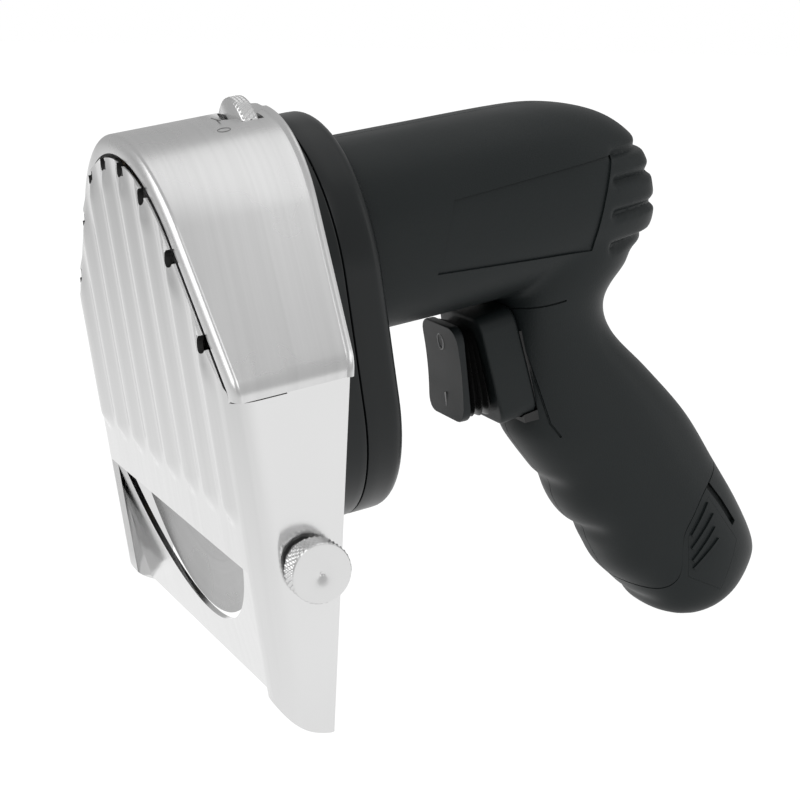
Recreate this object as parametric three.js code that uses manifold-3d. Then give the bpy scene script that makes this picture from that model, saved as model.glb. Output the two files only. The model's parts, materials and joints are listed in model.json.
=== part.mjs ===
// Cordless kebab slicer: a round blade behind a ribbed thickness guide, driven through one pair of
// spur gears by a motor in a pistol-grip body with a battery in the foot of its handle.
//
// Millimetres. The tool is drawn in its own axes, X rearwards along the blade shaft, Y to the left and
// Z up, square to the shaft, with the origin on the shaft in the plane of the guide's rib crests.
// The whole tool is then tipped to stand on the guide's two tips and the battery's flat base.

import * as THREE from "three";
import { mergeVertices } from "three/addons/utils/BufferGeometryUtils.js";
import Module from "manifold-3d";

const wasm = await Module();
wasm.setup();

// Fits
const GAP = 0.3;
const RUNNING_GAP = 0.2;
const THREAD_GAP = 0.3;

// Cutters run past the faces they cut by PAST or right out to FAR; joined bodies sink in by BITE
const PAST = 1;
const FAR = 200;
const BITE = 0.1;

// Stance
const STAND_TILT = THREE.MathUtils.degToRad(10.7);

// Blade and shaft
const BLADE_AXIS_Z = -4;
const BLADE_RADIUS = 50;
const BLADE_THICKNESS = 1.3;
const BLADE_RIM_X = 5;
const BLADE_SEAT_X = 9.5;
const BLADE_SEAT_RADIUS = 14;
const BLADE_BEVEL = 3;
const BLADE_EDGE = 0.1;
const SHAFT_RADIUS = 4;
const SEAL_SEAT_RADIUS = 5.2;
const HUB_RADIUS = 11;
const HUB_THICKNESS = 1.9;
const BLADE_WASHER_RADIUS = 9;
const BLADE_WASHER_THICKNESS = 1.1;
const BLADE_SCREW_RADIUS = 2.5;
const BLADE_SCREW_LENGTH = 11;
const BLADE_SCREW_HEAD_RADIUS = 5;
const BLADE_SCREW_HEAD_HEIGHT = 2.4;

// Bearings and seal on the blade shaft
const FRONT_BEARING_X = 17.2;
const FRONT_BEARING_WIDTH = 7;
const FRONT_BEARING_RADIUS = 11;
const REAR_BEARING_X = 42.2;
const REAR_BEARING_WIDTH = 5;
const REAR_BEARING_RADIUS = 8;
const SEAL_WIDTH = 3;
const SEAL_RADIUS = 9;
const BEARING_SHOULDER = 2.8;

// Gears
const GEAR_MODULE = 1;
const GEAR_TEETH = 48;
const PINION_TEETH = 16;
const GEAR_X = 35.5;
const GEAR_WIDTH = 6;
const PINION_WIDTH = 6.8;
const GEAR_HUB_RADIUS = 8;
const GEAR_HUB_LENGTH = 4;
const TOOTH_THINNING = 0.16;
const TOOTH_RISE = 0.9;
const TOOTH_ROOT = 1.25;
const TOOTH_FLANK = THREE.MathUtils.degToRad(20);
const MOTOR_AXIS_Z = BLADE_AXIS_Z + (GEAR_MODULE * (GEAR_TEETH + PINION_TEETH)) / 2;

// Gearbox
const GEARBOX_HALF_WIDTH = 33.5;
const GEARBOX_TOP_DROP = 2.8;
const GEARBOX_LOW_CENTRE_Z = -5.5;
const GEARBOX_SEAM_X = 38.8;
const GEARBOX_REAR_X = 48.7;
const GEARBOX_WALL = 2.5;
const SEAM_GAP = 0.3;
const NOSE_RADIUS = 14;
const NOSE_FRONT_X = 13.5;
const HEAD_SCREW_Y = 24;
const HEAD_SCREW_Z = [40, -22];
const HEAD_SCREW_RADIUS = 2;
const HEAD_SCREW_HEAD_RADIUS = 3.5;
const HEAD_SCREW_HEAD_HEIGHT = 2.6;
const HEAD_SCREW_END_X = 45.5;
const SCREW_BOSS_RADIUS = 4.2;
const SPIGOT_LENGTH = 5.5;
const SPIGOT_WALL = 1.3;
const SPIGOT_KEY_HEIGHT = 1.2;
const SPIGOT_KEY_WIDTH = 2;

// Slots of the screws, as shares of the head's height and the shank's radius
const SCREW_SLOT_FLOOR = 0.6;
const SCREW_SLOT_WIDTH = 0.3;

// Rear plane of the metal head: X = HEAD_REAR_X + HEAD_REAR_SLOPE * Z
const HEAD_REAR_X = 24.8;
const HEAD_REAR_SLOPE = 0.2;

// Blade housing, the fixed band
const BAND_HALF_WIDTH = 60.2;
const BAND_TOP_RADIUS = 46;
const BAND_TOP_CENTRE_Z = 16;
const BAND_SLANT = THREE.MathUtils.degToRad(38.9);
const BAND_CORNER_RADIUS = 6.5;
const BAND_SKIRT = 0.95;
const BAND_FRONT_X = 0.3;
const BAND_WALL = 1.3;
const SHOULDER_DEPTH = 1.7;
const SHOULDER_INSET = 4.2;
const BEAD_HEIGHT = 0.7;
const BEAD_WIDTH = 1.4;
const REAR_WALL_THICKNESS = 1.4;
const REAR_WALL_LOWER_Z = -32;
const BRACKET_THICKNESS = 2.6;
const BRACKET_FRONT_X = 7.5;
const BRACKET_LOWER_Z = -34;
const BRACKET_DROP = 0.4;
const BRACKET_UPPER_DEPTH = 8;
const BRACKET_GAP = 0.5;

// Thickness guide
const PLATE_FRONT_X = -0.4;
const SHEET = 1.4;
const PLATE_BAND_GAP = 0.8;
const CHEEK_BAND_GAP = 0.5;
const CHEEK_CORNER_RADIUS = 6.5;
const CHEEK_TUCK = 2;
const CHEEK_STEP = 0.8;
const CHEEK_TAB_X = 12.5;
const CHORD_Z = -28.6;
const OPENING_RADIUS = 51.4;
const LIP_BOTTOM_Z = -65;
const LIP_SETBACK = 5;
const LIP_TOP_X = 0.6;
const TIP_Z = -67.7;
const TIP_WIDTH = 0.8;
const CHEEK_SWEEP_Z = -54;
const CHEEK_SWEEP = [[-0.6, -59], [2, -66]];
const RIB_COUNT = 8;
const RIB_EDGE = 8.3;
const RIB_HEIGHT = 1.6;
const RIB_HALF_WIDTH = 3.4;
const RIB_END_Z = -19.5;
const NOTCH_RADIUS = 1.9;
const GUIDE_TRAVEL = 4;

// Thickness adjuster
const WHEEL_X = 29;
const WHEEL_WIDTH = 4;
const WHEEL_RADIUS = 11;
const WHEEL_SINK = 7.4;
const WHEEL_TEETH = 36;
const WHEEL_GAP = 0.8;
const KNURL_DEPTH = 0.35;
const SPINDLE_RADIUS = 2.5;
const SPINDLE_FRONT_X = 10.6;
const SPINDLE_COLLAR_RADIUS = 4;
const SPINDLE_COLLAR_WIDTH = 1.4;
const JOURNAL_DEPTH = 2;
const NUT_X = 9.9;
const NUT_LENGTH = 10;
const NUT_HALF_WIDTH = 6;
const NUT_HALF_HEIGHT = 4;
const NUT_FOOT_RISE = 0.7;
const SCOOP_RADIUS = 15;
const SCOOP_DEPTH = 3;

// Lock knobs on the cheeks
const KNOB_X = 11.5;
const KNOB_Z = -27.7;
const KNOB_RADIUS = 7;
const KNOB_LENGTH = 5.5;
const KNOB_NECK_RADIUS = 3.6;
const KNOB_NECK_LENGTH = 0.9;
const KNOB_TEETH = 28;
const LOCK_SCREW_RADIUS = 2;
const LOCK_WASHER_RADIUS = 5.4;
const LOCK_WASHER_THICKNESS = 0.8;

// Motor
const MOTOR_RADIUS = 19;
const MOTOR_LENGTH = 53;
const MOTOR_WALL = 1.4;
const MOTOR_SHAFT_RADIUS = 2.5;
const MOTOR_BUSH_RADIUS = 4;
const MOTOR_BUSH_LENGTH = 2;
const ARMATURE_RADIUS = 13.8;
const ARMATURE_START = 8;
const ARMATURE_LENGTH = 36;
const MAGNET_THICKNESS = 2.6;
const MAGNET_GAP = 0.6;
const MAGNET_HALF_ANGLE = THREE.MathUtils.degToRad(58);
const COMMUTATOR_RADIUS = 6.5;
const COMMUTATOR_LENGTH = 7;
const COMMUTATOR_GAP = 2;
const COMMUTATOR_NECK_RADIUS = 3.5;
const END_CAP_THICKNESS = 3;
const END_CAP_SKIN = 0.8;
const BRUSH_SIZE = 4;
const BRUSH_LENGTH = 5.4;
const HOLDER_WALL = 1.7;
const HOLDER_SETBACK = 0.8;
const MOTOR_SCREW_Y = 12.5;
const MOTOR_SCREW_RADIUS = 1.5;
const MOTOR_SCREW_HEAD_RADIUS = 2.8;
const MOTOR_SCREW_HEAD_HEIGHT = 2;
const MOTOR_SCREW_LENGTH = 7;

// Barrel and handle shells
const SHELL_WALL = 2.2;
const BARREL_HALF_WIDTH = 23.5;
const BARREL_SQUARENESS = 2.6;
const HANDLE_SQUARENESS = 2.3;
const SPLIT_GAP = 0.3;
const CRADLE_X = [66, 96];
const CRADLE_WIDTH = 2.4;
const INSET_STRETCH = 1.2;
const PANEL_OUTLINE = [[66, 18.7], [107.9, 15.4], [116.2, 37.6], [72.4, 35.4]];
const FINGER_NOTCH_HEIGHTS = [35.8, 22.4];
const FINGER_NOTCH_RADIUS = 3.2;
const FINGER_NOTCH_DEPTH = 1.2;
const REAR_GROOVE_Z = [37.6, 31.1, 23.1, 14.8];
const REAR_GROOVE_HALF_HEIGHT = 0.9;
const REAR_GROOVE_X = 113;
const SURFACE_CUT = 0.9;
const SHELL_SCREW_PLACES = [[112, 38], [118, 15], [110.5, -5], [97.6, -31], [118, -19]];
const SHELL_SCREW_RADIUS = 1.5;
const SHELL_SCREW_HEAD_RADIUS = 2.8;
const SHELL_SCREW_HEAD_HEIGHT = 2;
const SHELL_SCREW_LENGTH = 18;
const SHELL_BOSS_RADIUS = 3.6;
const SHELL_SCREW_SEAT_Y = 9;

// Rocker switch
const PADDLE_WIDTH = 20;
const PADDLE_HEIGHT = 24.5;
const PADDLE_THICKNESS = 2.6;
const PADDLE_FACE_X = 73.6;
const PADDLE_CENTRE_Z = -11.2;
const PADDLE_LEAN = THREE.MathUtils.degToRad(2);
const PADDLE_CORNER = 4;
const PADDLE_HOLLOW = 0.8;
const ROCKER_PIVOT_X = 85.5;
const ROCKER_PIVOT_Z = -11.5;
const STEM_HALF_WIDTH = 3.5;
const STEM_HALF_HEIGHT = 3.5;
const ROCKER_PIN_RADIUS = 1.5;
const ROCKER_PIN_COVER = 1.2;
const BEZEL_X = 81.6;
const BEZEL_LEAN = THREE.MathUtils.degToRad(-7.1);
const BEZEL_WIDTH = 24;
const BEZEL_HEIGHT = 28.6;
const BEZEL_THICKNESS = 10;
const BEZEL_CENTRE_Z = -11.9;
const BEZEL_CORNER = 4;
const BEZEL_ROOM = 12;
const BEZEL_HOLE_HALF_WIDTH = 7;
const BEZEL_HOLE_HALF_HEIGHT = 9;
const BOOT_FOLDS = 3;
const BOOT_FOLD_DEPTH = 1.8;
const BOOT_MARGIN = 0.4;
const BOOT_REAR_Z = -12;
const BOOT_SQUARENESS = 5;
const BOOT_BORE_WIDTH = 10;
const BOOT_BORE_HEIGHT = 12;
const SWITCH_LENGTH = 17;
const SWITCH_FRONT_X = 89.5;
const SWITCH_HALF_WIDTH = 11;
const SWITCH_TOP_Z = -3;
const SWITCH_BOTTOM_Z = -26.6;

// Battery, in the handle's raked axes: p across, s down along the handle
const HANDLE_RAKE = THREE.MathUtils.degToRad(28);
const BATTERY_P = 83.6;
const CELL_RADIUS = 7.2;
const CELL_LENGTH = 50;
const CELL_TOP_S = 79;
const TRAY_WALL = 1;
const TRAY_BASE = 2;
const TRAY_MARGIN = 3;
const WELL_HEADROOM = 30;
const CONTACT_THICKNESS = 0.6;
const CONTACT_HALF_WIDTH = 5;
const CONTACT_REACH = 4;
const TERMINAL_HEIGHT = 5;
const TERMINAL_HALF_DEPTH = 7.2;
const LATCH_TRAVEL = 1.5;
const LATCH_INNER_Y = 13.2;
const LATCH_OUTLINE = [[128.6, -78], [132, -65], [137.6, -59.5], [145, -72], [137, -86]];
const LATCH_SPRING_THICKNESS = 0.4;
const LATCH_SPRING_X = [133, 139];
const LATCH_SPRING_Z = [-76, -70];
const CAP_LINE = [
  [104, -72.4], [113, -77.6], [119.5, -80.1], [123.5, -79.6], [126.3, -76.5], [128, -66.5], [130.5, -62.7],
  [137.6, -55.5], [152, -49],
];
const BOARD_X = [94.5, 106];
const BOARD_HALF_WIDTH = 9;
const BOARD_THICKNESS = 1.6;

// Materials
const look = (color, roughness, metalness) =>
  new THREE.MeshStandardMaterial({ color, roughness, metalness });
const satinSteel = look(0xc8c7c7, 0.32, 1);
const polishedSteel = look(0xe2e2e2, 0.15, 1);
const bladeSteel = look(0xb4b2b6, 0.25, 1);
const zincSteel = look(0xa9abad, 0.35, 1);
const castAlloy = look(0x9c9ea0, 0.5, 1);
const glossBlack = look(0x1c2022, 0.25, 0);
const shellBlack = look(0x262b2c, 0.55, 0);
const switchBlack = look(0x2f3335, 0.45, 0);
const bootRubber = look(0x111314, 0.7, 0);
const innerBlack = look(0x202224, 0.6, 0);
const brass = look(0xb08d4a, 0.3, 1);
const copper = look(0xa8683c, 0.35, 1);
const magnetGrey = look(0x46484a, 0.7, 0);
const cellGreen = look(0x3f7f5a, 0.4, 0);
const boardGreen = look(0x1f5a3c, 0.5, 0);

// A closed geometry as a solid that can be joined and cut, with its faces turned out.
function solid(geometry) {
  const bare = geometry.clone();
  for (const name of Object.keys(bare.attributes)) {
    if (name !== "position") bare.deleteAttribute(name);
  }
  const merged = mergeVertices(bare, 1e-4);
  const position = merged.getAttribute("position");
  const corners = [0, 1, 2].map(() => new THREE.Vector3());
  const triangles = [];
  let volume = 0;
  for (let i = 0; i < merged.index.count; i += 3) {
    const face = [0, 1, 2].map((k) => merged.index.getX(i + k));
    if (new Set(face).size < 3) continue;
    triangles.push(face);
    corners.forEach((corner, k) => corner.fromBufferAttribute(position, face[k]));
    volume += corners[0].dot(corners[1].clone().cross(corners[2]));
  }
  if (volume < 0) triangles.forEach((face) => face.reverse());
  return new wasm.Manifold(
    new wasm.Mesh({
      numProp: 3,
      vertProperties: position.array,
      triVerts: new Uint32Array(triangles.flat()),
    }),
  );
}

// A solid back as a three.js geometry.
function geometryOf(body) {
  const mesh = body.getMesh();
  const geometry = new THREE.BufferGeometry();
  geometry.setAttribute("position", new THREE.BufferAttribute(mesh.vertProperties, 3));
  geometry.setIndex(new THREE.BufferAttribute(mesh.triVerts, 1));
  return geometry;
}

const join = (first, ...rest) => rest.reduce((body, next) => body.add(next), first);
const cut = (first, ...rest) => rest.reduce((body, next) => body.subtract(next), first);

// Extrusions: a shape drawn in (Y, Z) goes along X, one drawn in (X, Z) goes along Y.
const toX = new THREE.Matrix4().set(0, 0, 1, 0, 1, 0, 0, 0, 0, 1, 0, 0, 0, 0, 0, 1);
const toY = new THREE.Matrix4().set(1, 0, 0, 0, 0, 0, -1, 0, 0, 1, 0, 0, 0, 0, 0, 1);

function extrude(shape, depth, segments) {
  return new THREE.ExtrudeGeometry(shape, { depth, bevelEnabled: false, curveSegments: segments });
}

function alongX(shape, from, to, segments = 12) {
  return solid(extrude(shape, to - from, segments).applyMatrix4(toX).translate(from, 0, 0));
}

function alongY(shape, from, to, segments = 12) {
  return solid(extrude(shape, to - from, segments).applyMatrix4(toY).translate(0, to, 0));
}

const polygon = (points) => new THREE.Shape(points.map(([u, v]) => new THREE.Vector2(u, v)));

function rectangle(u0, u1, v0, v1) {
  return polygon([[u0, v0], [u1, v0], [u1, v1], [u0, v1]]);
}

function circle(radius, u = 0, v = 0) {
  return new THREE.Shape().absarc(u, v, radius, 0, Math.PI * 2);
}

function roundedRectangle(halfU, halfV, corner) {
  const shape = new THREE.Shape();
  shape.absarc(halfU - corner, halfV - corner, corner, 0, Math.PI / 2);
  shape.absarc(corner - halfU, halfV - corner, corner, Math.PI / 2, Math.PI);
  shape.absarc(corner - halfU, corner - halfV, corner, Math.PI, Math.PI * 1.5);
  shape.absarc(halfU - corner, corner - halfV, corner, Math.PI * 1.5, Math.PI * 2);
  shape.closePath();
  return shape;
}

// Two half circles about (0, low) and (0, high), joined by straight sides.
function stadium(radius, low, high) {
  const shape = new THREE.Shape();
  shape.absarc(0, high, radius, 0, Math.PI);
  shape.absarc(0, low, radius, Math.PI, Math.PI * 2);
  shape.closePath();
  return shape;
}

function box(x0, x1, y0, y1, z0, z1) {
  const geometry = new THREE.BoxGeometry(x1 - x0, y1 - y0, z1 - z0);
  return solid(geometry.translate((x0 + x1) / 2, (y0 + y1) / 2, (z0 + z1) / 2));
}

const rodX = (radius, from, to, y = 0, z = 0, sides = 16) =>
  alongX(circle(radius, y, z), from, to, sides / 2);
const rodY = (radius, from, to, x, z, sides = 16) =>
  alongY(circle(radius, x, z), from, to, sides / 2);

// A profile of [X, radius] points turned about an axis along X at height z.
function turnX(profile, z = 0, sides = 16) {
  const points = profile.map(([x, radius]) => new THREE.Vector2(radius, x));
  return solid(new THREE.LatheGeometry(points, sides).rotateZ(-Math.PI / 2).translate(0, 0, z));
}

// A ring about an axis along X.
const ringX = (inner, outer, from, to, z = 0, sides = 16) =>
  turnX([[from, inner], [to, inner], [to, outer], [from, outer], [from, inner]], z, sides);

// Leans a solid back so that a plane square to X becomes parallel to the head's rear plane.
function leanBack(body) {
  const shear = new THREE.Matrix4().set(
    1, 0, HEAD_REAR_SLOPE, 0, 0, 1, 0, 0, 0, 0, 1, 0, 0, 0, 0, 1,
  );
  return solid(geometryOf(body).applyMatrix4(shear));
}

const headRear = (z) => HEAD_REAR_X + HEAD_REAR_SLOPE * z;

// A body through a row of closed rings with equal counts, capped at both ends.
function loft(rings, capContour) {
  const count = rings[0].length;
  const points = rings.flat();
  const index = [];
  for (let i = 0; i + 1 < rings.length; i++) {
    for (let k = 0; k < count; k++) {
      const next = (k + 1) % count;
      const [a, b] = [i * count + k, i * count + next];
      const [c, d] = [(i + 1) * count + k, (i + 1) * count + next];
      index.push(a, b, d, a, d, c);
    }
  }
  const faces = THREE.ShapeUtils.triangulateShape(capContour, []);
  const last = (rings.length - 1) * count;
  for (const [a, b, c] of faces) {
    index.push(a, c, b, last + a, last + b, last + c);
  }
  const geometry = new THREE.BufferGeometry().setFromPoints(points);
  geometry.setIndex(index);
  return solid(geometry);
}

// A curve value at u, through a short list of [u, value] points.
function through(list) {
  const slopes = list.map((point, i) => {
    const before = list[Math.max(i - 1, 0)];
    const after = list[Math.min(i + 1, list.length - 1)];
    return (after[1] - before[1]) / (after[0] - before[0]);
  });
  return (u) => {
    let i = list.findIndex((point) => point[0] >= u);
    if (i < 0) i = list.length - 1;
    i = Math.max(i, 1);
    const [[u0, v0], [u1, v1]] = [list[i - 1], list[i]];
    const h = u1 - u0;
    const t = THREE.MathUtils.clamp((u - u0) / h, 0, 1);
    const [t2, t3] = [t * t, t * t * t];
    return (
      (2 * t3 - 3 * t2 + 1) * v0 +
      (t3 - 2 * t2 + t) * h * slopes[i - 1] +
      (3 * t2 - 2 * t3) * v1 +
      (t3 - t2) * h * slopes[i]
    );
  };
}

// One ring of a squared ellipse, as [across, along] pairs.
function squaredEllipse(halfU, halfV, squareness, count) {
  const power = 2 / squareness;
  const bend = (value) => Math.sign(value) * Math.abs(value) ** power;
  return Array.from({ length: count }, (_, k) => {
    const angle = (k / count) * Math.PI * 2;
    return [halfU * bend(Math.cos(angle)), halfV * bend(Math.sin(angle))];
  });
}

const part = new THREE.Group();
const tool = new THREE.Group();
part.add(tool);

function add(name, body, material) {
  const geometry = geometryOf(body).toNonIndexed();
  geometry.computeVertexNormals();
  const mesh = new THREE.Mesh(geometry, material);
  mesh.name = name;
  tool.add(mesh);
}

// The band's corners lie where its slanted sides meet its upright ends.
const slantY = Math.cos(BAND_SLANT);
const slantZ = Math.sin(BAND_SLANT);
const cornerY = BAND_HALF_WIDTH - BAND_CORNER_RADIUS;
const slantReach = BAND_TOP_RADIUS - BAND_CORNER_RADIUS - slantY * cornerY;
const cornerZ = BAND_TOP_CENTRE_Z + slantReach / slantZ;

// What hangs from the band, or fits inside it, keeps its distance from the band's edges.
const bandTop = BAND_TOP_CENTRE_Z + BAND_TOP_RADIUS;
const bandLower = cornerZ - BAND_SKIRT;
const bracketUpper = bandLower - BRACKET_DROP;
const cheekTop = bandLower + CHEEK_TUCK;
const cheekStep = bandLower - CHEEK_STEP;
const cheekOuter = BAND_HALF_WIDTH - BAND_WALL - CHEEK_BAND_GAP;
const outerRib = BAND_HALF_WIDTH - SHOULDER_INSET - PLATE_BAND_GAP - RIB_EDGE;
const wheelZ = bandTop - WHEEL_SINK;
const gearboxTopCentre = bandTop - GEARBOX_TOP_DROP - GEARBOX_HALF_WIDTH;

// Band outline: points and inward normals from the right lower end, over the top, to the left end.
function bandPath() {
  const path = [];
  const push = (y, z, ny, nz) => path.push({ y, z, ny, nz });
  const cornerSteps = 3;
  const slantSteps = 4;
  const topSteps = 12;
  const half = [];
  half.push([BAND_HALF_WIDTH, bandLower, 0]);
  for (let i = 0; i <= cornerSteps; i++) {
    const angle = (i / cornerSteps) * BAND_SLANT;
    half.push([
      cornerY + BAND_CORNER_RADIUS * Math.cos(angle),
      cornerZ + BAND_CORNER_RADIUS * Math.sin(angle),
      angle,
    ]);
  }
  const [fromY, fromZ] = half[half.length - 1];
  const [toY, toZ] = [BAND_TOP_RADIUS * slantY, BAND_TOP_CENTRE_Z + BAND_TOP_RADIUS * slantZ];
  for (let i = 1; i < slantSteps; i++) {
    const t = i / slantSteps;
    half.push([THREE.MathUtils.lerp(fromY, toY, t), THREE.MathUtils.lerp(fromZ, toZ, t), BAND_SLANT]);
  }
  half.forEach(([y, z, angle]) => push(-y, z, Math.cos(angle), -Math.sin(angle)));
  for (let i = 0; i <= topSteps; i++) {
    const angle = BAND_SLANT + (i / topSteps) * (Math.PI - 2 * BAND_SLANT);
    const [c, s] = [Math.cos(angle), Math.sin(angle)];
    push(-BAND_TOP_RADIUS * c, BAND_TOP_CENTRE_Z + BAND_TOP_RADIUS * s, c, -s);
  }
  half.reverse().forEach(([y, z, angle]) => push(y, z, -Math.cos(angle), -Math.sin(angle)));
  return path;
}

const path = bandPath();

function insetPath(inset) {
  return path.map((p) => [p.y + p.ny * inset, p.z + p.nz * inset]);
}

// Blade
function bladeBody() {
  const back = BLADE_RIM_X + BLADE_THICKNESS;
  const seatBack = BLADE_SEAT_X + BLADE_THICKNESS;
  const bore = SHAFT_RADIUS + RUNNING_GAP;
  return turnX(
    [
      [BLADE_SEAT_X, bore],
      [seatBack, bore],
      [seatBack, BLADE_SEAT_RADIUS],
      [back, BLADE_RADIUS - BLADE_BEVEL],
      [BLADE_RIM_X + BLADE_EDGE, BLADE_RADIUS],
      [BLADE_RIM_X, BLADE_RADIUS],
      [BLADE_SEAT_X, BLADE_SEAT_RADIUS],
      [BLADE_SEAT_X, bore],
    ],
    BLADE_AXIS_Z,
    48,
  );
}

// Blade shaft with its hub, seal seat and tapped front end
const hubFront = BLADE_SEAT_X + BLADE_THICKNESS + GAP;
const hubBack = hubFront + HUB_THICKNESS;
const shaftEnd = REAR_BEARING_X + REAR_BEARING_WIDTH - RUNNING_GAP;
const tapRadius = BLADE_SCREW_RADIUS + THREAD_GAP;
const washerFront = BLADE_SEAT_X - GAP - BLADE_WASHER_THICKNESS;
const bladeScrewSeat = washerFront - RUNNING_GAP;
const tapEnd = bladeScrewSeat + BLADE_SCREW_LENGTH + PAST;

function shaftBody() {
  return turnX([
    [BLADE_SEAT_X, tapRadius],
    [BLADE_SEAT_X, SHAFT_RADIUS],
    [hubFront, SHAFT_RADIUS],
    [hubFront, HUB_RADIUS],
    [hubBack, HUB_RADIUS],
    [hubBack, SEAL_SEAT_RADIUS],
    [FRONT_BEARING_X - RUNNING_GAP, SEAL_SEAT_RADIUS],
    [FRONT_BEARING_X - RUNNING_GAP, SHAFT_RADIUS],
    [shaftEnd, SHAFT_RADIUS],
    [shaftEnd, 0],
    [tapEnd, 0],
    [tapEnd, tapRadius],
    [BLADE_SEAT_X, tapRadius],
  ], BLADE_AXIS_Z);
}

// A pan-head screw along X, its head at the front.
function screwX(radius, length, headRadius, headHeight, seatX, y, z, sides = 8) {
  const head = rodX(headRadius, seatX - headHeight, seatX, y, z, sides);
  const slotBottom = seatX - headHeight * SCREW_SLOT_FLOOR;
  const slotHalf = radius * SCREW_SLOT_WIDTH;
  const slot = box(seatX - FAR, slotBottom, y - headRadius, y + headRadius, z - slotHalf, z + slotHalf);
  return join(cut(head, slot), rodX(radius, seatX - BITE, seatX + length, y, z, sides));
}

// A spur gear outline with straight-flanked teeth, thinned for backlash.
function gearShape(teeth, turn, z) {
  const pitch = (GEAR_MODULE * teeth) / 2;
  const tip = pitch + GEAR_MODULE * TOOTH_RISE;
  const root = pitch - GEAR_MODULE * TOOTH_ROOT;
  const step = (Math.PI * 2) / teeth;
  const half = step / 4 - TOOTH_THINNING / pitch / 2;
  const lean = (rise) => (rise * Math.tan(TOOTH_FLANK)) / pitch;
  const points = [];
  for (let i = 0; i < teeth; i++) {
    const middle = turn + i * step;
    const corner = (radius, angle) => {
      points.push([radius * Math.cos(angle), z + radius * Math.sin(angle)]);
    };
    const rootHalf = half + lean(pitch - root);
    const tipHalf = half - lean(tip - pitch);
    corner(root, middle - rootHalf);
    corner(tip, middle - tipHalf);
    corner(tip, middle + tipHalf);
    corner(root, middle + rootHalf);
  }
  return polygon(points);
}

function bladeGroup() {
  add("blade", bladeBody(), bladeSteel);
  const washerBack = washerFront + BLADE_WASHER_THICKNESS;
  const washer = ringX(tapRadius, BLADE_WASHER_RADIUS, washerFront, washerBack, BLADE_AXIS_Z);
  add("blade_washer", washer, zincSteel);
  add(
    "blade_screw",
    screwX(
      BLADE_SCREW_RADIUS, BLADE_SCREW_LENGTH, BLADE_SCREW_HEAD_RADIUS, BLADE_SCREW_HEAD_HEIGHT,
      bladeScrewSeat, 0, BLADE_AXIS_Z, 16,
    ),
    zincSteel,
  );
  add("blade_shaft", shaftBody(), zincSteel);
  const gear = join(
    alongX(gearShape(GEAR_TEETH, Math.PI / 2, BLADE_AXIS_Z), GEAR_X, GEAR_X + GEAR_WIDTH),
    rodX(GEAR_HUB_RADIUS, GEAR_X - GEAR_HUB_LENGTH, GEAR_X + BITE, 0, BLADE_AXIS_Z),
  );
  const bore = rodX(SHAFT_RADIUS + RUNNING_GAP, GEAR_X - FAR, GEAR_X + FAR, 0, BLADE_AXIS_Z);
  add("drive_gear", cut(gear, bore), castAlloy);
  const race = (name, x, width, radius) => {
    add(name, ringX(SHAFT_RADIUS + RUNNING_GAP, radius, x, x + width, BLADE_AXIS_Z), zincSteel);
  };
  race("front_bearing", FRONT_BEARING_X, FRONT_BEARING_WIDTH, FRONT_BEARING_RADIUS);
  race("rear_bearing", REAR_BEARING_X, REAR_BEARING_WIDTH, REAR_BEARING_RADIUS);
  const sealX = FRONT_BEARING_X - GAP - SEAL_WIDTH;
  const seal = ringX(
    SEAL_SEAT_RADIUS + RUNNING_GAP, SEAL_RADIUS, sealX, sealX + SEAL_WIDTH, BLADE_AXIS_Z,
  );
  add("shaft_seal", seal, bootRubber);
}

// Gearbox halves
const gearboxOutline = (inset) =>
  stadium(GEARBOX_HALF_WIDTH - inset, GEARBOX_LOW_CENTRE_Z, gearboxTopCentre);
const headScrews = HEAD_SCREW_Z.flatMap((z) => [-1, 1].map((side) => [side * HEAD_SCREW_Y, z]));
const coverBack = GEARBOX_SEAM_X - SEAM_GAP / 2;
const cupFront = GEARBOX_SEAM_X + SEAM_GAP / 2;
const coverFront = (z) => headRear(z) + GAP;

function inFrontOf(offset) {
  return leanBack(box(-FAR, HEAD_REAR_X + offset, -FAR, FAR, -FAR, FAR));
}

function coverBody() {
  const segments = 8;
  const ahead = inFrontOf(GAP);
  const outer = cut(alongX(gearboxOutline(0), 0, coverBack, segments), ahead);
  const hollow = cut(
    alongX(gearboxOutline(GEARBOX_WALL), 0, coverBack + PAST, segments),
    inFrontOf(GAP + GEARBOX_WALL),
  );
  const posts = headScrews.map(([y, z]) => cut(rodX(SCREW_BOSS_RADIUS, 0, coverBack, y, z, 8), ahead));
  const z = BLADE_AXIS_Z;
  const nose = rodX(NOSE_RADIUS, NOSE_FRONT_X, coverFront(z + NOSE_RADIUS), 0, z);
  const bearingEnd = FRONT_BEARING_X + FRONT_BEARING_WIDTH + GAP;
  const holes = headScrews.map(([y, up]) =>
    rodX(HEAD_SCREW_RADIUS + THREAD_GAP, 0, GEARBOX_SEAM_X, y, up, 8),
  );
  return cut(
    join(cut(outer, hollow), ...posts, nose),
    ...holes,
    rodX(SEAL_RADIUS + GAP, 0, FRONT_BEARING_X, 0, z),
    rodX(FRONT_BEARING_RADIUS + RUNNING_GAP, FRONT_BEARING_X - GAP, bearingEnd, 0, z),
    rodX(SEAL_RADIUS - BEARING_SHOULDER, FRONT_BEARING_X, GEARBOX_SEAM_X, 0, z),
    rodX(SPINDLE_RADIUS + GAP, 0, spindleEnd + GAP, 0, wheelZ, 12),
  );
}

const spindleEnd = coverFront(wheelZ) + JOURNAL_DEPTH;
const pinionRoom = MOTOR_BUSH_RADIUS + PAST;
const motorFront = GEARBOX_REAR_X + GAP;
const spigotInner = MOTOR_RADIUS + GAP;
const spigotOuter = spigotInner + SPIGOT_WALL;
const keyOuter = spigotOuter + SPIGOT_KEY_HEIGHT;
const spigotEnd = GEARBOX_REAR_X + SPIGOT_LENGTH;

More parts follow.
